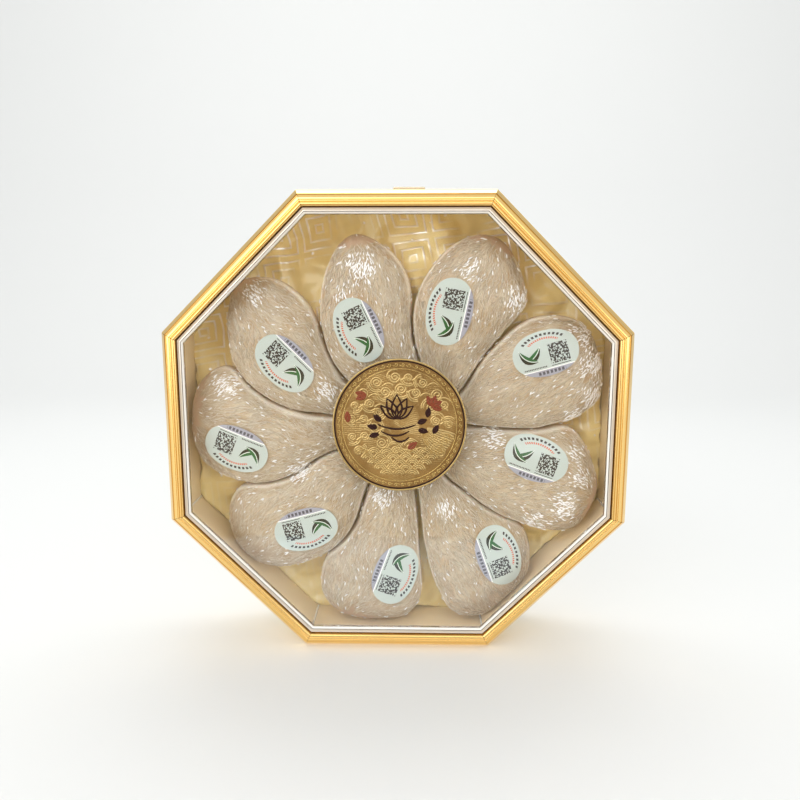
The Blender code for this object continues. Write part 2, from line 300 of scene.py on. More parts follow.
@dataclass(frozen=True)
class Finish:
    """A surface of one real material, with the values that every kind of surface has."""

    name: str
    colour: str
    roughness: float
    metallic: float = 0.0
    settings: dict[str, Any] = field(default_factory=dict)

    def make(self) -> bpy.types.Material:
        """Makes the material once, and gives the same one after that."""
        known = bpy.data.materials.get(self.name)
        if known:
            return known
        material = bpy.data.materials.new(self.name)
        material.use_nodes = True
        tree = material.node_tree
        shader = tree.nodes["Principled BSDF"]
        feed(shader, {"Base Color": tone(self.colour), "Roughness": self.roughness, "Metallic": self.metallic,
                      **self.settings})
        material.diffuse_color = tone(self.colour)
        self.dress(tree, shader)
        return material

    def dress(self, tree: bpy.types.NodeTree, shader: bpy.types.Node) -> None:
        """Adds the nodes that a plain finish lacks.

        Args:
            tree: The material's tree.
            shader: Its main shader.
        """

    def put_on(self, piece: bpy.types.Object) -> bpy.types.Object:
        """Makes this the piece's only material."""
        piece.data.materials.clear()
        piece.data.materials.append(self.make())
        return piece


@dataclass(frozen=True)
class Plating(Finish):
    """Gold-coloured vacuum plating on moulded plastic: mirror-bright, with faint flow ripples under it."""

    ripple: float = 0.001
    ripple_length_mm: float = 5.0

    def dress(self, tree: bpy.types.NodeTree, shader: bpy.types.Node) -> None:
        """Adds the ripples of the moulding and a slight cloudiness of the lacquer.

        Args:
            tree: The material's tree.
            shader: Its main shader.
        """
        place = add(tree, "ShaderNodeTexCoord").outputs["Object"]
        ripples = add(tree, NOISE,
                      {"Vector": place, "Scale": 1 / (self.ripple_length_mm * MM), "Detail": 2.0})
        bump = add(tree, BUMP,
                   {"Height": ripples, "Strength": 1.0, "Distance": self.ripple * MM})
        feed(shader, {"Normal": bump})
        cloud = add(tree, NOISE, {"Vector": place, "Scale": 60.0, "Detail": 3.0})
        gloss = add(tree, RANGE, {"Value": cloud, "From Min": 0.3, "From Max": 0.7,
                                                 "To Min": self.roughness * 0.7, "To Max": self.roughness * 1.4})
        feed(shader, {"Roughness": gloss})


@dataclass(frozen=True)
class Moulded(Finish):
    """Moulded plastic with a soft gloss, a fine grain and a little unevenness in its colour."""

    second: str = "#DCCBAA"
    grain_mm: float = 0.5
    grain_height_mm: float = 0.01

    def dress(self, tree: bpy.types.NodeTree, shader: bpy.types.Node) -> None:
        """Adds the uneven colour and the grain.

        Args:
            tree: The material's tree.
            shader: Its main shader.
        """
        place = add(tree, "ShaderNodeTexCoord").outputs["Object"]
        cloud = add(tree, NOISE, {"Vector": place, "Scale": 18.0, "Detail": 4.0})
        colour = add(tree, MIX, {0: cloud, 6: tone(self.colour), 7: tone(self.second)},
                     data_type="RGBA")
        feed(shader, {"Base Color": colour.outputs[2]})
        grain = add(tree, NOISE,
                    {"Vector": place, "Scale": 1 / (self.grain_mm * MM), "Detail": 1.0})
        bump = add(tree, BUMP,
                   {"Height": grain, "Strength": 1.0, "Distance": self.grain_height_mm * MM})
        feed(shader, {"Normal": bump})


@dataclass(frozen=True)
class Satin(Finish):
    """Pale yellow polyester satin, embossed with squares of key fret and knots that are painted white as highlights.

    The fret's lines and knots are painted white and metal-bright, a painted highlight for the light that the embossing
    catches, and the long floats of the weave give a soft sheen. The pattern and its painted highlight grow faint
    towards the bottom, where the lines are painted as catching less light.
    """

    # White painted highlight on the fret's lines and knots
    line: str = "#FFFFFF"
    tile_mm: float = 27.0
    tile_turn: float = 8.0
    rib_mm: float = 4.5
    relief_mm: float = 0.3
    drift_m: float = 0.009
    # How high on the box the pattern and its painted highlight grow faint, in metres, and the share of it that is left
    # below
    highlight_fade: tuple[float, float] = (0.09, 0.17)
    highlight_left: float = 0.15
    shine: float = 0.65
    highlight_whiteness: float = 0.9

    def dress(self, tree: bpy.types.NodeTree, shader: bpy.types.Node) -> None:
        """Draws the fret in the plan and raises it, paints its lines and knots white and metal-bright as a highlight,
        and adds soft creases beside it.

        Args:
            tree: The material's tree.
            shader: Its main shader.
        """
        place = add(tree, "ShaderNodeTexCoord").outputs["Object"]
        wander = add(tree, NOISE, {"Vector": place, "Scale": 22.0, "Detail": 1.0})
        pull = add(tree, VECTOR, {0: wander.outputs["Color"], 1: (0.5, 0.5, 0.5)}, operation="SUBTRACT")
        drift = add(tree, VECTOR, {0: pull, "Scale": self.drift_m}, operation="SCALE")
        moved = add(tree, VECTOR, {0: place, 1: drift}, operation="ADD")
        tiles = add(tree, "ShaderNodeMapping", {"Vector": moved, "Rotation": (0.0, math.radians(self.tile_turn), 0.0),
                                                "Scale": (1 / (self.tile_mm * MM),) * 3})
        axes = add(tree, "ShaderNodeSeparateXYZ", {0: tiles})
        inside = []
        for side in ("X", "Z"):
            part = add(tree, MATH, {0: axes.outputs[side]}, operation="FRACT")
            middle = add(tree, MATH, {0: part, 1: 0.5}, operation="SUBTRACT")
            inside.append(add(tree, MATH, {0: middle}, operation="ABSOLUTE"))
        square = add(tree, MATH, {0: inside[0], 1: inside[1]}, operation="MAXIMUM")
        ribs = add(tree, MATH, {0: square, 1: self.tile_mm / self.rib_mm}, operation="MULTIPLY")
        wave = add(tree, MATH, {0: ribs, 1: 0.5}, operation="PINGPONG")
        raised = add(tree, RANGE, {"Value": wave, "From Min": 0.3, "From Max": 0.42},
                     interpolation_type="SMOOTHSTEP")
        worn = add(tree, NOISE, {"Vector": place, "Scale": 35.0, "Detail": 2.0})
        clear = add(tree, RANGE, {"Value": worn, "From Min": 0.42, "From Max": 0.62})
        spread = add(tree, "ShaderNodeSeparateXYZ", {0: place})
        lower = add(tree, RANGE, {"Value": spread.outputs["Z"], "From Min": self.highlight_fade[0], "From Max": self.highlight_fade[1],
                                  "To Min": self.highlight_left})
        kept = add(tree, MATH, {0: clear, 1: lower}, operation="MULTIPLY")
        lines = add(tree, MATH, {0: raised, 1: kept}, operation="MULTIPLY")
        knots = add(tree, "ShaderNodeTexVoronoi", {"Vector": tiles, "Scale": 2.6, "Randomness": 0.6})
        knot = add(tree, RANGE, {"Value": knots, "From Min": 0.12, "From Max": 0.07})
        pressed = add(tree, MATH, {0: lines, 1: knot}, operation="MAXIMUM")
        relief = add(tree, BUMP, {"Height": pressed, "Strength": 0.7, "Distance": self.relief_mm * MM})
        crease = add(tree, NOISE, {"Vector": place, "Scale": 70.0, "Detail": 3.0,
                                   "Distortion": 0.6})
        creased = add(tree, BUMP, {"Height": crease, "Strength": 0.6, "Distance": 0.0012, "Normal": relief})
        # The lines and knots are made metal-bright and white: a painted highlight, lessened lower down
        glint = add(tree, MATH, {0: pressed, 1: self.shine}, operation="MULTIPLY")
        share = add(tree, MATH, {0: pressed, 1: self.highlight_whiteness}, operation="MULTIPLY")
        colour = add(tree, MIX, {0: share, 6: tone(self.colour), 7: tone(self.line)}, data_type="RGBA")
        feed(shader, {"Normal": creased, "Metallic": glint, "Base Color": colour.outputs[2]})


# Painted warm light: the amber that light takes through deep gel and off the satin, the object's own Y at which it
# starts and is full, in metres, and its full share
AMBER = "#D79A4E"
AMBER_FROM, AMBER_TO = -0.003, 0.013
AMBER_SHARE = 0.7


def ambered(tree: bpy.types.NodeTree, colour: Any) -> Any:
    """Turns a colour to amber towards the back of the tray: painted warm light, for the light that comes through more
    gel there.

    The amber sets in from a little in front of the box's middle plane to its full share behind it.

    Args:
        tree: The material's tree.
        colour: The colour's socket.

    Returns:
        The socket of the result.
    """
    place = add(tree, "ShaderNodeTexCoord").outputs["Object"]
    axes = add(tree, "ShaderNodeSeparateXYZ", {0: place})
    share = add(tree, RANGE, {"Value": axes.outputs["Y"], "From Min": AMBER_FROM, "From Max": AMBER_TO,
                                             "To Max": AMBER_SHARE})
    return add(tree, MIX, {0: share, 6: colour, 7: tone(AMBER)},
               data_type="RGBA").outputs[2]


@dataclass(frozen=True)
class DriedNest(Finish):
    """Dried swiftlet gel: a hard, half-clear glaze of fibres that lie along the nest.

    The piece's own map runs along the fibres and across them, in millimetres.
    """

    deep: str = "#BA9F7C"
    skin: str = "#CCB29A"
    # A pale band on the side-facing skin: a painted highlight for the bright outline where light shines through the
    # edge
    edge: str = "#F8F1E4"
    fibre_mm: float = 0.6
    fibre_length_mm: float = 9.0

    def dress(self, tree: bpy.types.NodeTree, shader: bpy.types.Node) -> None:
        """Adds the streaks of fibre, their relief and the browner hollows between them, a pale band painted as a
        highlight on the sides, and painted warm light towards the back.

        Args:
            tree: The material's tree.
            shader: Its main shader.
        """
        fibres = add(tree, "ShaderNodeUVMap", uv_map="along")
        stretch = add(tree, "ShaderNodeMapping", {"Vector": fibres,
                                                  "Scale": (1 / self.fibre_length_mm, 1 / self.fibre_mm, 1.0)})
        streak = add(tree, NOISE, {"Vector": stretch, "Scale": 1.0, "Detail": 4.0,
                                                  "Roughness": 0.6})
        place = add(tree, "ShaderNodeTexCoord").outputs["Object"]
        lump = add(tree, NOISE, {"Vector": place, "Scale": 130.0, "Detail": 3.0})
        both = add(tree, MATH, {0: streak, 1: lump}, operation="ADD")
        depth = add(tree, RANGE, {"Value": both, "From Min": 0.75, "From Max": 1.25})
        colour = add(tree, MIX, {0: depth, 6: tone(self.deep), 7: tone(self.colour)},
                     data_type="RGBA")
        cap = add(tree, STORED, attribute_name="cap", attribute_type="GEOMETRY")
        capped = add(tree, MIX, {0: cap.outputs["Fac"], 6: colour.outputs[2], 7: tone(self.skin)},
                     data_type="RGBA")
        # Painted highlight: the side-facing band turns towards the pale edge colour
        rim = add(tree, STORED, attribute_name="rim", attribute_type="GEOMETRY")
        rim_lit = add(tree, MIX, {0: rim.outputs["Fac"], 6: ambered(tree, capped.outputs[2]),
                                             7: tone(self.edge)}, data_type="RGBA")
        feed(shader, {"Base Color": rim_lit.outputs[2]})
        bump = add(tree, BUMP, {"Height": both, "Strength": 1.0, "Distance": 0.0005})
        feed(shader, {"Normal": bump})


@dataclass(frozen=True)
class Strand(Finish):
    """A single dried strand: glassy and pale, each a little different from the next."""

    deep: str = "#C0AB8B"

    def dress(self, tree: bpy.types.NodeTree, shader: bpy.types.Node) -> None:
        """Gives each strand its own shade from the value stored along it."""
        shade = add(tree, STORED, attribute_name="shade", attribute_type="GEOMETRY")
        colour = add(tree, MIX, {0: shade.outputs["Fac"], 6: tone(self.deep), 7: tone(self.colour)},
                     data_type="RGBA")
        # The strands take the same painted warm light towards the back
        feed(shader, {"Base Color": ambered(tree, colour.outputs[2])})


@dataclass(frozen=True)
class Foil(Finish):
    """Embossed gold foil: satin-bright metal with a fine tooled grain.

    The value "relief" stored in the piece is one on its raised lines, which are painted lighter as a highlight, while
    the ground between them keeps the foil's darker tones, deepened as painted shade.
    """

    warm: str = "#AE9262"
    deep: str = "#846A44"

    def dress(self, tree: bpy.types.NodeTree, shader: bpy.types.Node) -> None:
        """Adds the tooling, warmer patches of lacquer, and the ground between the lines painted darker as shade.

        Args:
            tree: The material's tree.
            shader: Its main shader.
        """
        place = add(tree, "ShaderNodeTexCoord").outputs["Object"]
        patch = add(tree, NOISE, {"Vector": place, "Scale": 45.0, "Detail": 2.0})
        share = add(tree, RANGE, {"Value": patch, "From Min": 0.4, "From Max": 0.7})
        ground = add(tree, MIX, {0: share, 6: tone(self.warm), 7: tone(self.deep)},
                     data_type="RGBA")
        relief = add(tree, STORED, attribute_name="relief", attribute_type="GEOMETRY")
        # Painted highlight and shade: the raised lines take the light colour, the ground between them the darker tones
        colour = add(tree, MIX, {0: relief.outputs["Fac"], 6: ground.outputs[2], 7: tone(self.colour)},
                     data_type="RGBA")
        feed(shader, {"Base Color": colour.outputs[2]})
        tooling = add(tree, NOISE, {"Vector": place, "Scale": 1100.0, "Detail": 2.0,
                                                   "Distortion": 1.5})
        bump = add(tree, BUMP, {"Height": tooling, "Strength": 0.6, "Distance": 0.0002})
        feed(shader, {"Normal": bump})


@dataclass(frozen=True)
class StickerPaper(Finish):
    """Coated paper with a plain print: a band, a block of dots, a sprig and two arcs of marks.

    The piece's own map is in millimetres from the sticker's middle, along it and across it.
    """

    band: str = "#A3A6B4"
    ink: str = "#1F2025"
    accent: str = "#D0613C"
    leaf: str = "#0E5F2C"
    leaf_dark: str = "#061A10"
    half_length: float = 19.5
    half_width: float = 13.2
    # The block's middle and half width, the size of its dots and the share that is left blank
    block_middle: tuple[float, float] = (7.4, -0.9)
    block_half: float = 5.8
    dot: float = 0.6
    blank: float = 0.38
    leaf_length: float = 6.8
    leaf_width: float = 2.1

    def dress(self, tree: bpy.types.NodeTree, shader: bpy.types.Node) -> None:
        """Draws each part of the print over the paper's colour.

        Args:
            tree: The material's tree.
            shader: Its main shader.
        """
        place = add(tree, "ShaderNodeUVMap", uv_map="print")
        axes = add(tree, "ShaderNodeSeparateXYZ", {0: place})
        x, y = axes.outputs["X"], axes.outputs["Y"]
        band = add(tree, MATH, {0: y, 1: -9.2}, operation="LESS_THAN")
        line = add(tree, MATH, {0: y, 1: -8.95, 2: 0.3}, operation="COMPARE")
        colour = tone(self.colour)
        layers = [
            (band, self.band),
            (line, "#F4F6F6"),
            (self.marks(tree, x, y, (1.2, 8.2), (-10.9, 0.95), 2.3), "#50525E"),
            (self.marks(tree, x, y, (7.4, 5.8), (-7.75, 0.2), 0.0), self.ink),
            (self.marks(tree, x, y, (-7.9, 6.8), (-7.4, 0.42), 0.95), self.ink),
            (self.block(tree, place, x, y), self.ink),
            (self.arc(tree, x, y, (0.84, 0.05), (1.62, 0.88), 6.4), self.ink),
            (self.arc(tree, x, y, (0.665, 0.042), (1.6, 0.74), 9.6), self.accent),
        ]
        for middle, turn, bend in (((-7.4, -0.9), 33.0, 0.045), ((-11.6, -1.6), -38.0, 0.06)):
            layers += self.leaf_layers(tree, place, middle, turn, bend)
        for mask, paint in layers:
            mixed = add(tree, MIX, {0: mask, 6: colour, 7: tone(paint)}, data_type="RGBA")
            colour = mixed.outputs[2]
        feed(shader, {"Base Color": colour})

    def marks(self, tree: bpy.types.NodeTree, x: Any, y: Any, along: tuple[float, float],
              across: tuple[float, float], pitch: float) -> Any:
        """A row of short marks, or one plain line where the pitch is nought.

        Args:
            tree: The material's tree.
            x: The place along the sticker.
            y: The place across it.
            along: The row's middle and half length.
            across: The row's middle and half width.
            pitch: The distance between marks.

        Returns:
            The mask's node.
        """
        wide = add(tree, MATH, {0: x, 1: along[0], 2: along[1]}, operation="COMPARE")
        tall = add(tree, MATH, {0: y, 1: across[0], 2: across[1]}, operation="COMPARE")
        mask = add(tree, MATH, {0: wide, 1: tall}, operation="MULTIPLY")
        if not pitch:
            return mask
        beat = add(tree, MATH, {0: x, 1: 1 / pitch}, operation="MULTIPLY")
        part = add(tree, MATH, {0: beat}, operation="FRACT")
        on = add(tree, MATH, {0: part, 1: 0.62}, operation="LESS_THAN")
        return add(tree, MATH, {0: mask, 1: on}, operation="MULTIPLY")

    def block(self, tree: bpy.types.NodeTree, place: Any, x: Any, y: Any) -> Any:
        """A square block of scattered dots that says nothing.

        Args:
            tree: The material's tree.
            place: The node of the sticker's map.
            x: The place along the sticker.
            y: The place across it.

        Returns:
            The mask's node.
        """
        wide, tall = (add(tree, MATH, {0: axis, 1: middle, 2: self.block_half}, operation="COMPARE")
                      for axis, middle in zip((x, y), self.block_middle))
        cell = add(tree, VECTOR, {0: place, 1: (self.dot, self.dot, 1.0)}, operation="SNAP")
        chance = add(tree, "ShaderNodeTexWhiteNoise", {"Vector": cell})
        dot = add(tree, MATH, {0: chance, 1: self.blank}, operation="GREATER_THAN")
        mask = add(tree, MATH, {0: wide, 1: tall}, operation="MULTIPLY")
        return add(tree, MATH, {0: mask, 1: dot}, operation="MULTIPLY")

    def arc(self, tree: bpy.types.NodeTree, x: Any, y: Any, share: tuple[float, float],
            span: tuple[float, float], beats: float) -> Any:
        """An arc of marks that follows the sticker's left-hand edge.

        Args:
            tree: The material's tree.
            x: The place along the sticker.
            y: The place across it.
            share: The arc's place from the middle, nought, to the edge, one, and half its width.
            span: The middle of its angle and half its extent, in radians.
            beats: Marks for each radian.

        Returns:
            The mask's node.
        """
        even = [add(tree, MATH, {0: v, 1: 1 / half}, operation="MULTIPLY")
                for v, half in ((x, self.half_length), (y, self.half_width))]
        flat = add(tree, "ShaderNodeCombineXYZ", {0: even[0], 1: even[1]})
        reach = add(tree, VECTOR, {0: flat}, operation="LENGTH")
        near = add(tree, MATH, {0: reach.outputs["Value"], 1: share[0], 2: share[1]},
                   operation="COMPARE")
        turn = add(tree, MATH, {0: even[1], 1: even[0]}, operation="ARCTAN2")
        within = add(tree, MATH, {0: turn, 1: span[0], 2: span[1]}, operation="COMPARE")
        beat = add(tree, MATH, {0: turn, 1: beats}, operation="MULTIPLY")
        part = add(tree, MATH, {0: beat}, operation="FRACT")
        on = add(tree, MATH, {0: part, 1: 0.58}, operation="LESS_THAN")
        both = add(tree, MATH, {0: near, 1: within}, operation="MULTIPLY")
        return add(tree, MATH, {0: both, 1: on}, operation="MULTIPLY")

    def leaf_layers(self, tree: bpy.types.NodeTree, place: Any, middle: tuple[float, float], turn: float,
                    bend: float) -> list[tuple[Any, str]]:
        """One slender bent leaf with a dark side and a pale vein.

        Args:
            tree: The material's tree.
            place: The node of the sticker's map.
            middle: The leaf's middle in millimetres.
            turn: Its direction in degrees.
            bend: How much it bends, per millimetre.

        Returns:
            The masks' nodes with their colours.
        """
        own = add(tree, "ShaderNodeMapping", {"Vector": place, "Location": (*middle, 0.0),
                                              "Rotation": (0.0, 0.0, math.radians(turn))}, vector_type="TEXTURE")
        axes = add(tree, "ShaderNodeSeparateXYZ", {0: own})
        squared = add(tree, MATH, {0: axes.outputs["X"], 1: axes.outputs["X"]}, operation="MULTIPLY")
        arch = add(tree, MATH, {0: squared, 1: bend}, operation="MULTIPLY")
        off = add(tree, MATH, {0: axes.outputs["Y"], 1: arch}, operation="SUBTRACT")
        away = add(tree, MATH, {0: off}, operation="ABSOLUTE")
        taper = add(tree, MATH, {0: squared, 1: -self.leaf_width / self.leaf_length ** 2,
                                  2: self.leaf_width}, operation="MULTIPLY_ADD")
        leaf = add(tree, MATH, {0: away, 1: taper}, operation="LESS_THAN")
        below = add(tree, MATH, {0: off, 1: -0.25}, operation="LESS_THAN")
        shade = add(tree, MATH, {0: leaf, 1: below}, operation="MULTIPLY")
        centre = add(tree, MATH, {0: off, 1: 0.1, 2: 0.22}, operation="COMPARE")
        vein = add(tree, MATH, {0: leaf, 1: centre}, operation="MULTIPLY")
        return [(leaf, self.leaf), (shade, self.leaf_dark), (vein, "#E9F2EC")]


GOLD = Plating("gold-plated ABS rail", "#F5CF84", 0.15, 1.0)
# Clear cast acrylic, which shows by its reflections and by the edges it bends
CLEAR = Finish("clear polished acrylic", "#FFFFFF", 0.0, 0.0, {"Transmission Weight": 1.0, "IOR": 1.49})
# Opaque grey-tan band round the pane: painted reflection, standing for what the clear acrylic edge mirrors
RIM = Moulded("smoky edge of moulded acrylic", "#D6CEC3", 0.1, 0.35, {"Coat Weight": 0.5, "Coat Roughness": 0.02},
              second="#C2B8AA", grain_height_mm=0.0)
# The bevel at the pane's edge, painted white as a highlight
BEVEL_HIGHLIGHT = Moulded("bright bevel of moulded acrylic", "#F8F6F1", 0.1, 0.2, {"Coat Weight": 0.6}, second="#F1EDE5",
                   grain_height_mm=0.0)
# Dark brown painted shadow, put in the gaps and steps of the rim where shade falls
GAP_SHADOW = Moulded("dark brown adhesive seam", "#3A2410", 0.5, 0.0, {}, second="#4A3018", grain_height_mm=0.0)
# A white bead in each inside corner of the tray, painted white as the highlight where the walls meet
CORNER_HIGHLIGHT = Moulded("polished corner weld", "#FFFFFF", 0.15, 0.0, {"Coat Weight": 1.0}, second="#FDFBF6",
                 grain_height_mm=0.0)
IVORY = Moulded("ivory high-impact polystyrene", "#FFEECB", 0.3, 0.0, {"Coat Weight": 0.3, "Coat Roughness": 0.2},
                second="#FCE6C0")
SATIN = Satin("pale yellow embossed satin", "#FBEBAA", 0.34, 0.0,
              {"Specular IOR Level": 0.9, "Sheen Weight": 0.4, "Sheen Roughness": 0.3, "Sheen Tint": tone("#FFF3CF"),
               "Coat Weight": 0.25, "Coat Roughness": 0.18})
NEST = DriedNest("dried nest glaze", "#D5C9B1", 0.3, 0.0,
                 {"Subsurface Weight": 0.3, "Subsurface Radius": (1.0, 0.66, 0.42), "Subsurface Scale": 0.005,
                  "Coat Weight": 0.35, "Coat Roughness": 0.1, "Sheen Weight": 0.15, "Sheen Roughness": 0.25})
STRAND = Strand("dried nest strand", "#E1D9C8", 0.3, 0.0,
                {"IOR": 1.54, "Coat Weight": 0.15, "Coat Roughness": 0.1})
# White beads that stand for the glints on the gel: their white is a painted highlight, with a clear coat over it
PAINTED_GLINT = Finish("clear dried gel bead", "#FFFFFF", 0.12, 0.0, {"IOR": 1.54, "Coat Weight": 1.0, "Coat Roughness": 0.02})
PAPER = StickerPaper("coated sticker paper", "#C0CDC8", 0.3, 0.0, {"Coat Weight": 0.3, "Coat Roughness": 0.12})
FOIL = Foil("embossed gold foil", "#BFA66E", 0.28, 0.9)
# A lighter copy of the foil, for the border's scrolls and the field's ring
FOIL_BRIGHT = Foil("burnished gold foil", "#DDC68C", 0.22, 0.95, warm="#D0B878", deep="#BA9E62")
# Fired-looking dark lacquer in the emblem's strokes, nearly black with a warm edge
LACQUER = Moulded("dark brown lacquer", "#1E0B08", 0.35, 0.0, {"Specular IOR Level": 0.2}, second="#35140D",
                  grain_height_mm=0.004)
COPPER = Moulded("copper red lacquer", "#8A4A2C", 0.35, 0.0, {"Specular IOR Level": 0.25}, second="#6A2A1C",
                 grain_height_mm=0.004)


def new_tree(name: str, **sockets: str) -> tuple[bpy.types.NodeTree, Any]:
    """Starts a Geometry Nodes tree that takes and gives geometry.

    Args:
        name: The tree's name.
        **sockets: The kind of each further input, under its name.

    Returns:
        The tree and the sockets of what it is given.
    """
    tree = bpy.data.node_groups.new(name, "GeometryNodeTree")
    for label, kind in {"Geometry": "Geometry", **sockets}.items():
        tree.interface.new_socket(label, in_out="INPUT", socket_type="NodeSocket" + kind)
    tree.interface.new_socket("Geometry", in_out="OUTPUT", socket_type="NodeSocketGeometry")
    return tree, add(tree, "NodeGroupInput").outputs


def raised_line_tree(finish: Finish) -> bpy.types.NodeTree:
    """A tree that turns curves into raised lines as thick as their points' radius.

    Args:
        finish: What the lines are made of.

    Returns:
        The tree, with the inputs Geometry and Sides.
    """
    name = "raised lines in " + finish.name
    if name in bpy.data.node_groups:
        return bpy.data.node_groups[name]
    tree, given = new_tree(name, Sides="Int")
    radius = add(tree, "GeometryNodeInputRadius")
    ring = add(tree, "GeometryNodeCurvePrimitiveCircle", {"Resolution": given["Sides"], "Radius": 1.0})
    tube = add(tree, "GeometryNodeCurveToMesh", {"Curve": given["Geometry"], "Profile Curve": ring, "Scale": radius,
                                                 "Fill Caps": True})
    smooth = add(tree, "GeometryNodeSetShadeSmooth", {"Geometry": tube})
    real = add(tree, REAL, {"Geometry": smooth})
    painted = add(tree, PAINTED, {"Geometry": real, "Material": finish.make()})
    add(tree, "NodeGroupOutput", {"Geometry": painted})
    return tree


def set_inputs(modifier: bpy.types.NodesModifier, **values: Any) -> None:
    """Sets a modifier's named inputs by their sockets' identifiers."""
    for item in modifier.node_group.interface.items_tree:
        if item.item_type == "SOCKET" and item.in_out == "INPUT" and item.name.replace(" ", "_") in values:
            modifier[item.identifier] = values[item.name.replace(" ", "_")]


def raised_lines(name: str, strokes: list[tuple[np.ndarray, np.ndarray]], finish: Finish,
                 sides: int = 6) -> bpy.types.Object:
    """Makes one mesh of tubes along lines.

    Args:
        name: The object's name.
        strokes: Each line's points in metres, and the radius at each.
        finish: What the lines are made of.
        sides: The number of sides round each tube.

    Returns:
        The plain mesh object.
    """
    data = bpy.data.curves.new(name, "CURVE")
    data.dimensions = "3D"
    for points, radii in strokes:
        spline = data.splines.new("POLY")
        spline.points.add(len(points) - 1)
        spline.points.foreach_set("co", np.c_[points, np.ones(len(points))].astype(np.float32).ravel())
        spline.points.foreach_set("radius", np.asarray(radii, np.float32))
    made = bpy.data.objects.new(name, data)
    bpy.context.scene.collection.objects.link(made)
    modifier = made.modifiers.new("raised lines", "NODES")
    modifier.node_group = raised_line_tree(finish)
    set_inputs(modifier, Sides=sides)
    return settled(made)


@dataclass
class Moulding:
    """The lid's eight mitred rails: a round band, a groove and a bead, with a skirt behind."""

    width: float = 9.5
    rise: float = 6.9
    skirt_depth: float = 24.0
    skirt: float = 1.2
    ledge_face: float = 5.2
    ledge_back: float = 7.2
    ledge_width: float = 3.0
    seam: float = 0.12
    places: tuple[str, ...] = ("top", "upper_right", "right", "lower_right", "bottom", "lower_left", "left",
                               "upper_left")

    def profile(self) -> list[tuple[float, float]]:
        """The section as (inset from the outer side, depth), front to back."""
        edge = swept_arc((0.5, self.rise - 0.1), (0.5, 0.5), 180, 235, 4)
        chamfer = [(1.0, 5.15), (1.8, 3.95), (2.5, 3.0)]
        band = swept_arc((5.9, 5.2), (3.6, 3.35), 219, 262, 8)
        groove = [(5.6, 2.0), (5.72, 2.12), (5.86, 2.05)]
        small_bead = swept_arc((6.55, 1.55), (0.68, 0.62), 200, 330, 8)
        crest = swept_arc((8.3, 1.15), (1.12, 1.15), 196, 360, 14)
        lip = [(9.44, 2.0), (self.width, 2.2)]
        inner = self.width + self.ledge_width
        back = [(self.width, self.ledge_face), (inner, self.ledge_face), (inner, self.ledge_back),
                (self.skirt, self.ledge_back), (self.skirt, self.skirt_depth), (0.0, self.skirt_depth)]
        return edge + chamfer + band + groove + small_bead + crest + lip + back

    def rail(self, index: int) -> bpy.types.Mesh:
        """One rail's mesh between its two mitres, turned to its place.

        Args:
            index: Its place, clockwise from the top.

        Returns:
            The mesh.
        """
        section = self.profile()
        turn = -2 * HALF_TURN * index
        points = []
        for side in (-1.0, 1.0):
            for inset, depth in section:
                across, up = side * ((APOTHEM - inset) * math.tan(HALF_TURN) - self.seam), APOTHEM - inset
                points.append(spot(across * math.cos(turn) - up * math.sin(turn),
                                   across * math.sin(turn) + up * math.cos(turn), depth))
        count = len(section)
        faces = [(k, (k + 1) % count, count + (k + 1) % count, count + k) for k in range(count)]
        faces += [tuple(range(count)), tuple(range(count, 2 * count))]
        mesh = mesh_of("rail", points, faces)
        soften(mesh, 28.0)
        return mesh

    def build(self) -> None:
        """Makes the eight rails in place of the plain ones."""
        for index, place in enumerate(self.places):
            rail = new_object("gold_rail_" + place, self.rail(index))
            show(GOLD.put_on(rail), Slot.GOLD, "rail_" + place)


@dataclass
class Window:
    """The lid's clear pane and the bevelled rim that frames it."""

    face: float = 2.4
    back: float = 4.9
    pane: float = 121.4
    corner: float = 0.8

    def build(self) -> None:
        """Makes the pane, the grey-tan band of painted reflection round it, the bevel at its edge painted white as a
        highlight, and the dark lines of painted shadow.
        """
        pane = octagonal("pane", [(self.pane, self.face, 0.6), (self.pane, self.back, 0.6)])
        show(CLEAR.put_on(new_object("window_pane", pane)), Slot.CLEAR, "lid_window")
        back = self.back
        # The band round the pane, coloured as painted reflection
        self.ring("window_rim", RIM, [(124.85, back), (124.85, 1.9), (124.6, 1.6), (123.8, 1.75), (123.6, 1.6),
                                      (122.95, 1.5), (122.95, back)])
        # The bevel, white as a painted highlight
        self.ring("window_bevel", BEVEL_HIGHLIGHT, [(122.65, back), (122.65, 1.75), (122.45, 1.5), (121.55, 2.6),
                                             (121.5, back)])
        # Thin dark rings of painted shadow beside the rim and at the pane's back edge
        self.ring("window_seal", GAP_SHADOW, [(125.35, back), (125.35, 3.3), (124.9, 3.3), (124.9, back)])
        self.ring("window_seam", GAP_SHADOW, [(122.9, back), (122.9, 2.0), (122.7, 2.0), (122.7, back)])
        self.ring("window_shadow_line", GAP_SHADOW, [(121.95, 4.95), (121.35, 4.95), (121.35, 5.15), (121.95, 5.15)])
        CLEAR.put_on(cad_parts["lid_tab"])

    def ring(self, name: str, finish: Finish, section: list[tuple[float, float]]) -> None:
        """Makes one ring of the rim from its (apothem, depth) section."""
        ring = new_object(name, octagonal(name, [(a, d, self.corner) for a, d in section], closed=True))
        soften(ring.data, 25.0)
        show(finish.put_on(ring), Slot.CLEAR, "lid_window")


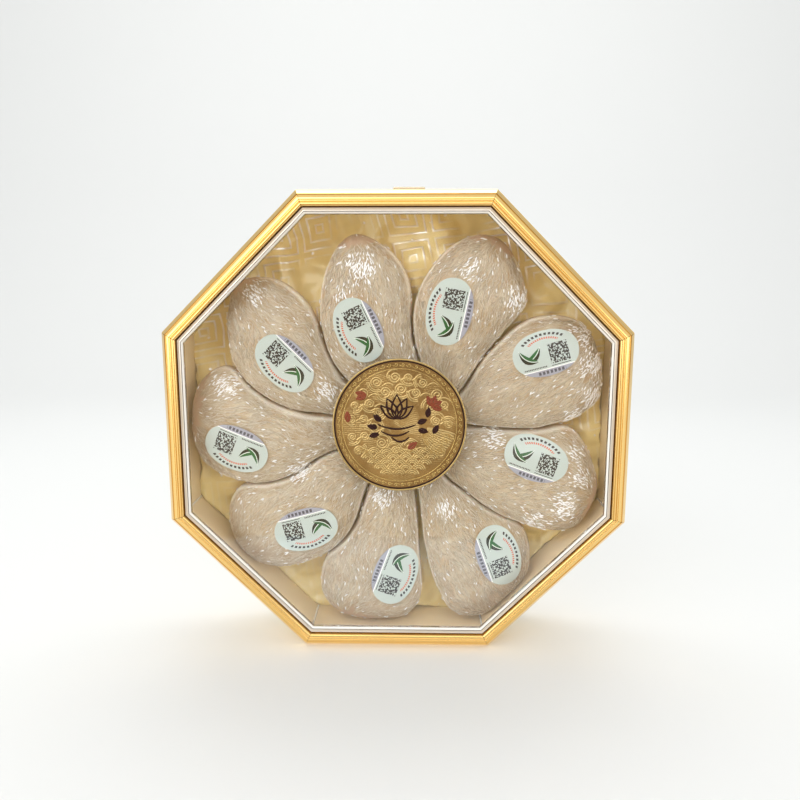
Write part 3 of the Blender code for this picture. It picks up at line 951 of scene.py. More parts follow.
@dataclass
class Tray:
    """The ivory tray, with rounded corners and a white bead of painted highlight in each inside corner."""

    outer: float = 133.5
    inner: float = 129.0
    front: float = 7.5
    floor: float = 53.4
    step: float = 24.3
    corner: float = 0.9
    bead: float = 0.72

    def build(self) -> None:
        """Makes the tray and its corner beads of painted highlight."""
        profile = [(self.inner, self.floor, self.corner), (self.inner, self.front + 0.5, self.corner),
                   (self.inner + 0.5, self.front, self.corner), (self.outer - 0.5, self.front, self.corner),
                   (self.outer, self.front + 0.5, self.corner), (self.outer, self.step, self.corner),
                   (APOTHEM - 0.4, self.step, self.corner), (APOTHEM, self.step + 0.4, self.corner),
                   (APOTHEM, DEPTH - 1.5, self.corner), (APOTHEM - 1.5, DEPTH, self.corner)]
        tray = new_object("ivory_tray", octagonal("tray", profile, steps=5))
        soften(tray.data)
        show(IVORY.put_on(tray), Slot.IVORY, "tray")
        strokes = []
        for index in range(SIDES):
            turn = HALF_TURN * (2 * index + 1)
            reach = self.inner / math.cos(HALF_TURN) - 0.5
            ends = np.array([spot(reach * math.cos(turn), reach * math.sin(turn), d) for d in (8.5, 46.0)])
            strokes.append((ends, np.full(2, self.bead * MM)))
        beads = raised_lines("tray_corner_beads", strokes, CORNER_HIGHLIGHT, 8)
        show(beads, Slot.IVORY)


@dataclass
class Nests:
    """The nine nests, each a body of dried gel under strands that lie along it."""

    count: int = 9
    strands_per_mm2: float = 0.68
    strand_length: float = 6.5
    strand_radius: float = 0.22
    glints_per_mm2: float = 0.85
    sticker_margin: float = 0.6
    # Where the painted glints gather on each nest, at spots where the lamps catch it: x, z and reach in the plan
    glint_spots: tuple[tuple[float, float, float], ...] = (
        (-21.0, 92.0, 13.0), (-30.0, 74.0, 9.0), (70.0, 74.0, 10.0), (42.0, 92.0, 8.0), (108.0, 54.0, 11.0),
        (115.0, 36.0, 12.0), (116.0, 17.0, 11.0), (107.0, 3.0, 11.0), (107.0, -18.0, 8.0), (111.0, -32.0, 10.0),
        (101.0, -50.0, 12.0), (84.0, -60.0, 9.0), (30.0, -52.0, 9.0), (-9.0, -44.0, 10.0),
        (-60.0, -30.0, 9.0), (-102.0, 22.0, 11.0), (-84.0, 78.0, 10.0), (-42.0, 20.0, 8.0), (58.0, -8.0, 9.0))
    bodies: dict[str, bpy.types.Object] = field(default_factory=dict)

    def build(self, stickers: "Stickers") -> None:
        """Makes each nest's body, then its strands.

        Args:
            stickers: The stickers, under which the strands lie flat.
        """
        for number in range(1, self.count + 1):
            name = f"nest_{number}"
            body = self.body(name, stickers.spots[name])
            self.bodies[name] = body
            strands = self.strands(body, number)
            show(NEST.put_on(body), Slot.STRANDS, name)
            show(strands, Slot.STRANDS, name)

    def body(self, name: str, sticker: "StickerSpot") -> bpy.types.Object:
        """The nest's body from its solid, subdivided, with lumps and the run of its fibres.

        Args:
            name: The node's name.
            sticker: Its sticker, under which it stays even.

        Returns:
            The object, with the map "along" and the values "cap", "rim", "cover", "gloss" and "flow".
        """
        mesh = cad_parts[name].data.copy()
        with reworked(mesh) as work:
            bmesh.ops.remove_doubles(work, verts=work.verts, dist=DOUBLES)
            bmesh.ops.join_triangles(work, faces=work.faces, angle_face_threshold=3.1, angle_shape_threshold=3.1)
        made = new_object("body_of_" + name, mesh)
        rounded = made.modifiers.new("rounded", "SUBSURF")
        rounded.levels = rounded.render_levels = 2
        made = settled(made)
        mesh = made.data
        co, normals = rows_of(mesh), rows_of(mesh, "normal")
        plan = plan_of(co)
        run, across, flow = self.fibre_run(plan)
        apart = sticker.distance(plan[:, :2])
        calm = np.clip(apart / 5.0, 0.0, 1.0)
        lumps = np.array([noise.noise(Vector(p / 15.0)) + 0.45 * noise.noise(Vector(p / 6.0)) for p in plan])
        ridges = np.array([noise.noise(Vector((a / 20.0, b / 3.0, plan[0, 0]))) for a, b in zip(run, across)])
        push = (1.0 * lumps + 0.55 * ridges) * (0.15 + 0.85 * calm) * np.clip(-normals[:, 1] + 0.25, 0.2, 1.0)
        sides = np.clip(1.0 - np.abs(normals[:, 1]) * 1.6, 0.0, 1.0)
        co += normals * ((push + 0.5 * sides) * MM)[:, None]
        mesh.vertices.foreach_set("co", co.ravel())
        lay_map(mesh, "along", np.stack([run, across], 1))
        uneven = np.array([noise.noise(Vector((b / 9.0, plan[0, 0], 2.0))) for b in across])
        cap = np.clip((run / np.abs(run).max() - 0.84 + 0.1 * uneven) / 0.035, 0.0, 1.0)
        # rim: the side-facing band, which is painted pale as a highlight along each nest's outline
        rim = np.clip(1.4 - np.abs(normals[:, 1] + 0.3) / 0.14, 0.0, 1.0) * (1.0 - cap)
        bare = np.where(apart < self.sticker_margin, 0.0, 1.0)
        cover = bare * np.clip(-0.05 - normals[:, 1] * 1.7, 0.0, 1.0) * (1.0 - 0.85 * cap)
        # gloss: how thickly the white beads of painted glint lie, highest at the listed spots
        gloss = np.zeros(len(plan))
        for x, z, reach in self.glint_spots:
            gloss = np.maximum(gloss, 1.0 - np.hypot(plan[:, 0] - x, plan[:, 1] - z) / reach)
        facing = bare * np.clip(0.2 - normals[:, 1] * 1.6, 0.0, 1.0)
        gloss = (0.024 + 1.2 * np.clip(gloss, 0.0, 0.72) ** 1.6) * facing
        store(mesh, cap=cap, rim=rim, cover=cover, gloss=gloss, flow=flow)
        mesh.shade_smooth()
        mesh.update()
        return made

    def fibre_run(self, plan: np.ndarray) -> tuple[np.ndarray, np.ndarray, np.ndarray]:
        """How the fibres run over a nest, from its inner tip to its outer end.

        Args:
            plan: The points as x, z and depth in millimetres.

        Returns:
            The distance along the fibres, the distance across them, and their direction in the part's frame.
        """
        flat = plan[:, :2]
        middle = (flat.max(0) + flat.min(0)) / 2
        values, vectors = np.linalg.eigh(np.cov((flat - flat.mean(0)).T))
        axis = vectors[:, 1] * np.sign(vectors[:, 1] @ middle)
        side = np.array([-axis[1], axis[0]])
        s, t = (flat - middle) @ axis, (flat - middle) @ side
        half, wide = np.abs(s).max(), np.abs(t).max()
        u = np.clip((s / half + 1) / 2, 0.03, 0.97)
        width = np.sin(math.pi * u ** 1.15) ** 0.7
        step = 0.01
        slope = (np.sin(math.pi * np.clip(u + step, 0, 1) ** 1.15) ** 0.7 - width) / (step * 2 * half)
        lean = np.clip(t * slope / width, -1.1, 1.1)
        swirl = np.array([noise.noise(Vector((a / 24, b / 24, middle[0]))) for a, b in flat]) * 0.9
        turn = np.arctan(lean) + swirl
        flow = np.cos(turn)[:, None] * axis + np.sin(turn)[:, None] * side
        spread = np.stack([flow[:, 0], np.zeros(len(flow)), flow[:, 1]], 1)
        return s, t / width, spread

    def strands(self, body: bpy.types.Object, seed: int) -> bpy.types.Object:
        """Lays the strands over a body with Geometry Nodes.

        Args:
            body: The nest's body.
            seed: The seed of its scatter.

        Returns:
            The strands as a plain mesh.
        """
        carrier = new_object(body.name.replace("body_of", "strands_of"), body.data.copy())
        modifier = carrier.modifiers.new("strands", "NODES")
        modifier.node_group = strand_tree(STRAND)
        set_inputs(modifier, Density=self.strands_per_mm2 / MM ** 2, Length=self.strand_length * MM,
                   Radius=self.strand_radius * MM, Seed=seed, Glints=self.glints_per_mm2 / MM ** 2)
        return settled(carrier)


def strand_tree(finish: Finish) -> bpy.types.NodeTree:
    """A tree that lays strands on a body along its stored flow.

    Args:
        finish: What the strands are made of.

    Returns:
        The tree, with the inputs Geometry, Density, Length, Radius, Seed and Glints.
    """
    name = "strands laid along a nest"
    if name in bpy.data.node_groups:
        return bpy.data.node_groups[name]
    tree, given = new_tree(name, Density="Float", Length="Float", Radius="Float", Seed="Int", Glints="Float")
    body, seed = given["Geometry"], given["Seed"]
    cover, gloss, shade = (add(tree, NAMED, {"Name": label}, data_type="FLOAT")
                           for label in ("cover", "gloss", "shade"))
    flow = add(tree, NAMED, {"Name": "flow"}, data_type="FLOAT_VECTOR")
    stray, share, chance, veer, scale = (
        add(tree, "FunctionNodeRandomValue", {2: low, 3: high, "Seed": draw}, data_type="FLOAT").outputs[1]
        for low, high, draw in ((-0.32, 0.32, seed), (0.45, 1.35, 7), (0.0, 1.0, 21), (-0.5, 0.5, 4), (0.45, 1.15, 11)))
    scattered = []
    for amount, value, angle in ((given["Density"], cover, stray), (given["Glints"], gloss, veer)):
        density = add(tree, MATH, {0: amount, 1: value}, operation="MULTIPLY")
        points = add(tree, "GeometryNodeDistributePointsOnFaces", {"Mesh": body, "Density": density, "Seed": seed})
        upright = add(tree, "FunctionNodeAxesToRotation",
                      {"Primary Axis": points.outputs["Normal"], "Secondary Axis": flow},
                      primary_axis="Z", secondary_axis="X")
        swing = add(tree, "FunctionNodeAxisAngleToRotation", {"Axis": (0.0, 0.0, 1.0), "Angle": angle})
        turned = add(tree, "FunctionNodeRotateRotation", {"Rotation": upright, "Rotate By": swing},
                     rotation_space="LOCAL")
        scattered.append({"Points": points, "Rotation": turned})
    straight = add(tree, "GeometryNodeCurvePrimitiveLine", {"Start": (-0.5, 0.0, 0.0), "End": (0.5, 0.0, 0.0)})
    cut = add(tree, "GeometryNodeResampleCurve", {"Curve": straight, "Count": 6})
    long = add(tree, MATH, {0: share, 1: given["Length"]}, operation="MULTIPLY")
    size = add(tree, "ShaderNodeCombineXYZ", {0: long, 1: 1.0, 2: 1.0})
    laid = add(tree, "GeometryNodeInstanceOnPoints", {**scattered[0], "Instance": cut, "Scale": size})
    marked = add(tree, "GeometryNodeStoreNamedAttribute", {"Geometry": laid, "Name": "shade", "Value": chance},
                 data_type="FLOAT", domain="INSTANCE")
    real = add(tree, REAL, {"Geometry": marked})
    # Each strand wavers along a noise of its own and then settles on the body's skin
    place = add(tree, "GeometryNodeInputPosition")
    layer = add(tree, MATH, {0: shade, 1: 0.6}, operation="MULTIPLY")
    apart = add(tree, "ShaderNodeCombineXYZ", {0: layer, 1: 0.0, 2: layer})
    where = add(tree, VECTOR, {0: place, 1: apart}, operation="ADD")
    waver = add(tree, NOISE, {"Vector": where, "Scale": 75.0, "Detail": 1.0})
    even = add(tree, VECTOR, {0: waver.outputs["Color"], 1: (0.5, 0.5, 0.5)}, operation="SUBTRACT")
    sway = add(tree, VECTOR, {0: even, "Scale": 0.009}, operation="SCALE")
    bent = add(tree, VECTOR, {0: place, 1: sway}, operation="ADD")
    skin = add(tree, "GeometryNodeProximity", {"Geometry": body, "Sample Position": bent}, target_element="FACES")
    facing = add(tree, "GeometryNodeInputNormal")
    outward, bare = (add(tree, "GeometryNodeSampleNearestSurface",
                         {"Mesh": body, "Value": value, "Sample Position": bent}, data_type=kind)
                     for value, kind in ((facing, "FLOAT_VECTOR"), (cover, "FLOAT")))
    # Its height over the skin, in metres: by its layer, dipping here and there, and sunk where nothing should show
    lifted = add(tree, RANGE, {"Value": shade, "To Min": -0.0001, "To Max": 0.00035})
    sunk = add(tree, MATH, {0: bare, 1: 0.0007, 2: -0.0007}, operation="MULTIPLY_ADD")
    dip = add(tree, NOISE, {"Vector": where, "Scale": 330.0, "Detail": 0.0})
    dipped = add(tree, RANGE, {"Value": dip, "From Min": 0.35, "From Max": 0.65, "To Min": -0.0007, "To Max": 0.0002})
    wavy = add(tree, MATH, {0: lifted, 1: dipped}, operation="ADD")
    height = add(tree, MATH, {0: wavy, 1: sunk}, operation="ADD")
    rise = add(tree, VECTOR, {0: outward, "Scale": height}, operation="SCALE")
    final = add(tree, VECTOR, {0: skin, 1: rise}, operation="ADD")
    curves = add(tree, "GeometryNodeSetPosition", {"Geometry": real, "Position": final})
    ring = add(tree, "GeometryNodeCurvePrimitiveCircle", {"Resolution": 3, "Radius": given["Radius"]})
    along = add(tree, "GeometryNodeSplineParameter")
    taper = add(tree, MATH, {0: along, 1: math.pi}, operation="MULTIPLY")
    round_off = add(tree, MATH, {0: taper}, operation="SINE")
    thick = add(tree, RANGE, {"Value": round_off, "From Max": 0.6, "To Min": 0.25})
    tube = add(tree, "GeometryNodeCurveToMesh", {"Curve": curves, "Profile Curve": ring, "Scale": thick,
                                                 "Fill Caps": True})
    # The white beads of painted glint lie where the body's gloss is high
    bead = add(tree, "GeometryNodeMeshIcoSphere", {"Radius": 0.001, "Subdivisions": 2})
    stretch = add(tree, "GeometryNodeTransform", {"Geometry": bead, "Scale": (1.35, 0.42, 0.32),
                                                  "Translation": (0.0, 0.0, 0.00045)})
    beads = add(tree, "GeometryNodeInstanceOnPoints", {**scattered[1], "Instance": stretch, "Scale": scale})
    smooth = add(tree, "GeometryNodeSetShadeSmooth", {"Geometry": tube})
    joined = add(tree, REAL, {"Geometry": smooth})
    plain = add(tree, REAL, {"Geometry": beads})
    even_beads = add(tree, "GeometryNodeSetShadeSmooth", {"Geometry": plain})
    both = add(tree, "GeometryNodeJoinGeometry")
    for part, look in ((joined, finish), (even_beads, PAINTED_GLINT)):
        feed(both, {0: add(tree, PAINTED, {"Geometry": part, "Material": look.make()})})
    add(tree, "NodeGroupOutput", {"Geometry": both})
    return tree


@dataclass
class StickerSpot:
    """Where one sticker lies: its middle in the plan, its heading in degrees and its surface."""

    node: str
    heading: float
    half_length: float = 19.5
    half_width: float = 13.2
    fullness: float = 2.2
    lift: float = 0.45

    def __post_init__(self) -> None:
        """Fits one even bowl to the plain sticker's points."""
        plan = plan_of(rows_of(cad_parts[self.node].data))
        self.middle = (plan[:, :2].max(0) + plan[:, :2].min(0)) / 2
        turn = math.radians(self.heading)
        self.along = np.array([math.cos(turn), math.sin(turn)])
        self.across = np.array([-self.along[1], self.along[0]])
        self.bowl = np.linalg.lstsq(self.terms(plan[:, :2]), plan[:, 2], rcond=None)[0]

    def terms(self, flat: np.ndarray) -> np.ndarray:
        """The bowl's terms at points of the plan."""
        x, z = (flat - self.middle).T
        return np.stack([np.ones(len(flat)), x, z, x * x, x * z, z * z], 1)

    def depth(self, flat: np.ndarray) -> np.ndarray:
        """The sticker's depth at points of the plan."""
        return self.terms(flat) @ self.bowl - self.lift

    def distance(self, flat: np.ndarray) -> np.ndarray:
        """Roughly how far points of the plan lie outside the sticker, in millimetres."""
        x = np.abs((flat - self.middle) @ self.along) / self.half_length
        y = np.abs((flat - self.middle) @ self.across) / self.half_width
        reach = (x ** self.fullness + y ** self.fullness) ** (1 / self.fullness)
        return (reach - 1) * self.half_width


@dataclass
class Stickers:
    """The nine oval stickers."""

    headings: tuple[float, ...] = (115.0, 78.0, 15.0, -20.0, -70.0, -110.0, -165.0, 158.0, 135.0)
    rings: int = 10
    segments: int = 80
    thickness: float = 0.22
    spots: dict[str, StickerSpot] = field(default_factory=dict)

    def measure(self) -> None:
        """Finds where each sticker lies from its plain solid."""
        for number, heading in enumerate(self.headings, 1):
            self.spots[f"nest_{number}"] = StickerSpot(f"label_{number}", heading)

    def build(self) -> None:
        """Makes each sticker as a thin bent oval with its print's map."""
        for number, place in enumerate(self.spots.values(), 1):
            sticker = new_object(f"sticker_{number}", self.sheet(place))
            wall = sticker.modifiers.new("paper", "SOLIDIFY")
            wall.thickness = self.thickness * MM
            wall.offset = -1.0
            sticker = settled(sticker)
            soften(sticker.data, 40.0)
            show(PAPER.put_on(sticker), Slot.PAPER, place.node)

    def sheet(self, place: StickerSpot) -> bpy.types.Mesh:
        """The sticker's front face.

        Args:
            place: Where it lies.

        Returns:
            The mesh, with the map "print".
        """
        chart, faces = [(0.0, 0.0)], []
        for ring in range(1, self.rings + 1):
            for step in range(self.segments):
                turn = 2 * math.pi * step / self.segments
                x, y = math.cos(turn), math.sin(turn)
                full = (abs(x) ** place.fullness + abs(y) ** place.fullness) ** (-1 / place.fullness)
                share = ring / self.rings * full
                chart.append((x * share * place.half_length, y * share * place.half_width))
        for step in range(self.segments):
            after = (step + 1) % self.segments
            faces.append((0, 1 + step, 1 + after))
            for ring in range(self.rings - 1):
                low, high = 1 + ring * self.segments, 1 + (ring + 1) * self.segments
                faces.append((low + step, high + step, high + after, low + after))
        flat = np.array(chart)
        plan = place.middle + flat[:, :1] * place.along + flat[:, 1:] * place.across
        mesh = bpy.data.meshes.new("sticker")
        mesh.from_pydata([spot(x, z, d) for (x, z), d in zip(plan, place.depth(plan))], [], faces)
        lay_map(mesh, "print", flat)
        return mesh


@dataclass
class SatinPad:
    """The puffed satin pad, blown up as cloth where no nest presses on it."""

    voxel: float = 3.2
    frames: int = 20
    pressure: float = 4.0
    limit: float = 7.0
    most_room: float = 9.0
    back: float = 49.0
    wall_reach: float = 9.0

    def build(self, nests: Nests) -> None:
        """Makes the pad over its plain solid.

        Args:
            nests: The nests that hold it down.
        """
        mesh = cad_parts["satin_pad"].data.copy()
        with reworked(mesh) as work:
            bmesh.ops.remove_doubles(work, verts=work.verts, dist=DOUBLES)
        pad = new_object("satin_lining", mesh)
        remesh = pad.modifiers.new("even faces", "REMESH")
        remesh.mode = "VOXEL"
        remesh.voxel_size = self.voxel * MM
        pad = settled(pad)
        start = rows_of(pad.data)
        room = self.room(start, nests)
        held = pad.vertex_groups.new(name="held")
        for index in np.flatnonzero(room < 1.0):
            held.add([int(index)], 1.0, "REPLACE")
        pad = self.blow_up(pad)
        moved = rows_of(pad.data) - start
        reach = np.linalg.norm(moved, axis=1)
        cap = np.minimum(room, self.limit) * MM
        moved *= np.minimum(1.0, cap / np.maximum(reach, 1e-9))[:, None]
        plan = plan_of(start)
        creases = np.array([abs(noise.noise(Vector((x / 26, z / 26, 3.0)))) + 0.6 * abs(noise.noise(
            Vector((x / 11, z / 11, 9.0)))) for x, z, _ in plan])
        reach = np.max([plan[:, 0] * math.cos(2 * HALF_TURN * k) + plan[:, 1] * math.sin(2 * HALF_TURN * k)
                        for k in range(SIDES)], axis=0)
        calm = np.clip((reach.max() - reach) / self.wall_reach, 0.1, 1.0)
        moved[:, 1] += np.clip(2.8 - 9.0 * creases, -1.2, 2.8) * MM * np.clip(room / 4.0, 0.0, 1.0) * calm
        pad.data.vertices.foreach_set("co", (start + moved).ravel())
        smooth = pad.modifiers.new("soft", "SUBSURF")
        smooth.levels = smooth.render_levels = 1
        pad = settled(pad)
        pad.data.shade_smooth()
        show(SATIN.put_on(pad), Slot.SATIN, "satin_pad")

    def room(self, points: np.ndarray, nests: Nests) -> np.ndarray:
        """How far each point may rise before it meets a nest or a wall, in millimetres.

        Args:
            points: The pad's points in metres.
            nests: The nests in front of it.

        Returns:
            The room, which is nought on the back of the pad.
        """
        trees = []
        for body in nests.bodies.values():
            mesh = body.data
            trees.append(BVHTree.FromPolygons([v.co for v in mesh.vertices], [p.vertices[:] for p in mesh.polygons]))
        plan = plan_of(points)
        room = np.full(len(points), self.most_room)
        for index, point in enumerate(points):
            for tree in trees:
                hit = tree.ray_cast(Vector(point) - Vector((0.0, -0.0005, 0.0)), Vector((0.0, -1.0, 0.0)))[3]
                if hit is not None:
                    room[index] = min(room[index], max(hit / MM - 1.0, 0.0))
        room[plan[:, 2] > self.back] = 0.0
        return room

    def blow_up(self, pad: bpy.types.Object) -> bpy.types.Object:
        """Blows the pad up as cloth under pressure, with its held points still.

        Args:
            pad: The pad with its group "held".

        Returns:
            The pad with the result in its mesh.
        """
        cloth = pad.modifiers.new("air", "CLOTH")
        settings = cloth.settings
        settings.use_pressure = True
        settings.uniform_pressure_force = self.pressure
        settings.quality = 5
        settings.mass = 0.2
        settings.tension_stiffness = settings.compression_stiffness = 8.0
        settings.bending_stiffness = 0.2
        settings.shrink_min = -0.10
        settings.effector_weights.gravity = 0.0
        settings.vertex_group_mass = "held"
        cloth.point_cache.frame_start, cloth.point_cache.frame_end = 1, self.frames
        scene = bpy.context.scene
        for step in range(1, self.frames + 1):
            scene.frame_set(step)
        blown = settled(pad)
        scene.frame_set(1)
        return blown


def spiral(middle: tuple[float, float], radius: float, turns: float, start: float, hand: int = 1) -> np.ndarray:
    """A spiral from its outside in, as (x, y) points in millimetres.

    Args:
        middle: Its eye.
        radius: Its outer radius.
        turns: The number of turns.
        start: Where it starts, in degrees.
        hand: 1 for anticlockwise and -1 for clockwise.

    Returns:
        The points.
    """
    t = np.linspace(0.0, 1.0, int(14 * turns) + 6)
    angle = math.radians(start) + hand * 2 * math.pi * turns * t
    reach = radius * (1 - 0.86 * t)
    return np.stack([middle[0] + reach * np.cos(angle), middle[1] + reach * np.sin(angle)], 1)


def petal(base: tuple[float, float], length: float, width: float, heading: float) -> list[np.ndarray]:
    """The two sides of a petal from its base to its tip.

    Args:
        base: Where it starts.
        length: Its length in millimetres.
        width: Its width.
        heading: Its direction in degrees.

    Returns:
        Its two sides as (x, y) points.
    """
    t = np.linspace(0.0, 1.0, 12)
    turn = math.radians(heading)
    sides = []
    for hand in (-1, 1):
        along, off = length * t, hand * width / 2 * np.sin(math.pi * t ** 0.8)
        sides.append(np.stack([base[0] + along * math.cos(turn) - off * math.sin(turn),
                               base[1] + along * math.sin(turn) + off * math.cos(turn)], 1))
    return sides


@dataclass
class Medallion:
    """The round plaque on the lid: a lotus above waves, in a field of cloud scrolls.

    Its drawing is in millimetres about its own centre.
    """

    centre: tuple[float, float] = (1.8, 3.1)
    radius: float = 38.6
    back: float = 2.1
    ground: float = 1.25
    crest: float = 0.85
    rim_face: float = 0.6
    line_lift: float = 0.12
    line_height: float = 0.38
    field_radius: float = 32.9
    border_count: int = 58
    ring_step: float = 0.36
    segments: int = 600
    seed: int = 5

    def build(self) -> None:
        """Makes the embossed disc, then its border, rings and coloured emblem."""
        show(FOIL.put_on(new_object("medallion_disc", self.disc())), Slot.FOIL, "medallion")
        self.border()
        self.circle("medallion_field_line", self.field_radius, 0.22, FOIL_BRIGHT)
        # A dark ring inside the rim, in the dark lacquer: painted shade in the groove under the rim
        self.circle("medallion_dark_line", self.radius - 1.35, 0.44, LACQUER)
        self.lines("medallion_emblem", self.emblem(), LACQUER, 0.62)
        self.lines("medallion_sprays", self.sprays(), COPPER, 0.62)

    def put(self, flat: np.ndarray, depth: np.ndarray | float) -> np.ndarray:
        """Points of the plaque's drawing at a depth, in metres in the part's frame."""
        x, z = self.centre[0] + flat[:, 0], self.centre[1] + flat[:, 1]
        return np.stack([x * MM, (depth + np.zeros(len(flat)) - DEPTH / 2) * MM, (APOTHEM + z) * MM], 1)

    def disc(self) -> bpy.types.Mesh:
        """The plaque with its raised rim and the relief of its field.

        Returns:
            The mesh, with the value "relief".
        """
        inner = self.radius - 1.0
        radii = np.arange(self.ring_step, inner, self.ring_step)
        edge = [(inner, self.ground), (inner + 0.1, self.rim_face + 0.25),
                *swept_arc((self.radius - 0.45, self.rim_face + 0.25), (0.43, 0.25), 180, 360, 8),
                (self.radius, self.back)]
        turns = np.linspace(0.0, 2 * math.pi, self.segments, endpoint=False)
        ring = circle_of(turns)
        flat = np.concatenate([[[0.0, 0.0]]] + [ring * r for r in radii])
        cover = self.relief(flat, self.scrolls() + self.waves() + self.rays())
        depth = self.ground - (self.ground - self.crest) * cover
        points = np.concatenate([self.put(flat, depth)] + [self.put(ring * r, d) for r, d in edge])
        rings, count = len(radii) + len(edge), self.segments
        faces = [(0, 1 + k, 1 + (k + 1) % count) for k in range(count)]
        for index in range(rings - 1):
            low = 1 + index * count
            faces += [(low + k, low + (k + 1) % count, low + count + (k + 1) % count, low + count + k)
                      for k in range(count)]
        faces.append(tuple(range(1 + (rings - 1) * count, 1 + rings * count)))
        mesh = bpy.data.meshes.new("disc")
        mesh.from_pydata([tuple(p) for p in points], [], faces)
        with reworked(mesh) as work:
            bmesh.ops.recalc_face_normals(work, faces=work.faces)
        store(mesh, relief=np.concatenate([cover, np.ones(len(points) - len(cover))]))
        soften(mesh, 60.0)
        return mesh

    def relief(self, flat: np.ndarray, drawn: list[np.ndarray]) -> np.ndarray:
        """How far each point rises from the ground to the crest of a line.

        Args:
            flat: The points of the field.
            drawn: The lines, as (x, y) points.

        Returns:
            Nought on the ground to one on a line's crest.
        """
        samples = []
        for line in drawn:
            steps = np.linalg.norm(np.diff(line, axis=0), axis=1)
            for start, end, length in zip(line[:-1], line[1:], steps):
                parts = max(1, int(length / 0.25))
                samples += [start + (end - start) * k / parts for k in range(parts)]
        tree = KDTree(len(samples))
        for index, (x, y) in enumerate(samples):
            tree.insert((x, y, 0.0), index)
        tree.balance()
        away = np.array([tree.find((x, y, 0.0))[2] for x, y in flat])
        near = np.clip(1.0 - away / 0.55, 0.0, 1.0)
        line = near * near * (3 - 2 * near)
        x, y = flat.T
        phase = y + 2.2 * np.sin(x / 6.5 + 0.4) + 0.25 * x
        zone = np.sin(x / 4.7 + 1.0) * np.cos(y / 5.9 - 0.5) + 0.5 * np.sin((x + y) / 7.0)
        hatch = np.clip(zone * 2.0, 0.0, 1.0) * (0.5 + 0.5 * np.sin(2 * math.pi * phase / 1.15))
        grain = 0.5 + 0.5 * np.sin(x * 4.1 + 2 * np.sin(y * 1.7)) * np.sin(y * 3.7 + 2 * np.sin(x * 1.3))
        inside = np.hypot(x, y) < self.field_radius
        return np.maximum(line * inside, np.where(away > 0.7, 0.45 * hatch + 0.22 * grain, 0.0) * inside)

    def lines(self, name: str, drawn: list[np.ndarray], finish: Finish, width: float) -> None:
        """Makes raised lines that taper to their ends, flattened on the plaque.

        Args:
            name: The piece's name.
            drawn: Each line's (x, y) points.
            finish: What they are made of.
            width: Their half width in millimetres.
        """
        strokes = []
        for flat in drawn:
            t = np.linspace(0.0, 1.0, len(flat))
            radii = width * MM * (0.35 + 0.65 * np.sin(math.pi * np.clip(t, 0.04, 0.96)) ** 0.6)
            strokes.append((self.put(flat, self.crest + self.line_lift), radii))
        piece = raised_lines(name, strokes, finish)
        co = rows_of(piece.data)
        level = (self.crest + self.line_lift - DEPTH / 2) * MM
        co[:, 1] = level + (co[:, 1] - level) * self.line_height / width
        piece.data.vertices.foreach_set("co", co.ravel())
        show(piece, Slot.FOIL, "medallion")

    def circle(self, name: str, radius: float, width: float, finish: Finish) -> None:
        """Makes one raised ring round the plaque."""
        turns = np.radians(np.linspace(0.0, 360.0, 181))
        line = circle_of(turns) * radius
        show(raised_lines(name, [(self.put(line, self.crest + 0.15), np.full(181, width * MM))], finish, 5),
             Slot.FOIL, "medallion")

    def border(self) -> None:
        """A ring of small scrolls inside the rim, repeated by Geometry Nodes."""
        scroll = np.concatenate([spiral((0.0, 0.2), 1.2, 1.2, 200.0)[::-1], [[-1.5, -0.6], [-2.0, -0.1]]])
        motif = raised_lines("medallion_border", [(np.c_[scroll, np.zeros(len(scroll))] * MM,
                                                   np.full(len(scroll), 0.27 * MM))], FOIL_BRIGHT, 5)
        modifier = motif.modifiers.new("ring", "NODES")
        modifier.node_group = ring_tree(FOIL_BRIGHT)
        set_inputs(modifier, Count=self.border_count, Radius=(self.field_radius + 2.2) * MM)
        motif = settled(motif)
        co = rows_of(motif.data) / MM
        motif.data.vertices.foreach_set("co", self.put(co[:, :2], self.crest + 0.2 - co[:, 2]).ravel())
        motif.data.flip_normals()
        show(motif, Slot.FOIL, "medallion")

    def inside(self, drawn: list[np.ndarray]) -> list[np.ndarray]:
        """The lines that lie wholly within the field."""
        return [line for line in drawn if np.linalg.norm(line, axis=1).max() < self.field_radius - 0.4]

    def scrolls(self) -> list[np.ndarray]:
        """Cloud scrolls over the field: spirals with trailing lines."""
        chance = np.random.default_rng(self.seed)
        drawn = []
        for reach, turns in ((28.0, range(-36, 217, 19)), (21.0, range(-20, 210, 27)), (14.5, range(150, 330, 36))):
            for turn in turns:
                angle = math.radians(turn + chance.uniform(-4, 4))
                x, y = reach * math.cos(angle), reach * math.sin(angle)
                size, hand = chance.uniform(2.3, 3.5), 1 if turn % 2 else -1
                start = math.degrees(angle) + chance.uniform(60, 200)
                drawn.append(spiral((x, y), size, 2.0, start, hand))
                for gap in (1.15, 2.2):
                    t = math.radians(start) - hand * 0.5 + np.linspace(-1.0, 1.0, 12)
                    drawn.append((x, y) + (size + gap) * circle_of(t))
                t = np.linspace(0.0, 1.0, 10)
                drawn.append(np.stack([x + size + 6 * t, y - size * 0.6 + 1.6 * np.sin(3 * t)], 1))
        return self.inside(drawn)

    def rays(self) -> list[np.ndarray]:
        """A fan of flowing lines in the lower right of the field."""
        drawn = []
        for k in range(11):
            t = np.linspace(0.0, 1.0, 18)
            turn = math.radians(-98 + 9.5 * k) + 0.7 * t * (1 - 0.12 * k)
            reach = 3.0 + 15.5 * t
            drawn.append((13.5, -1.5) + reach[:, None] * circle_of(turn))
        return self.inside(drawn)

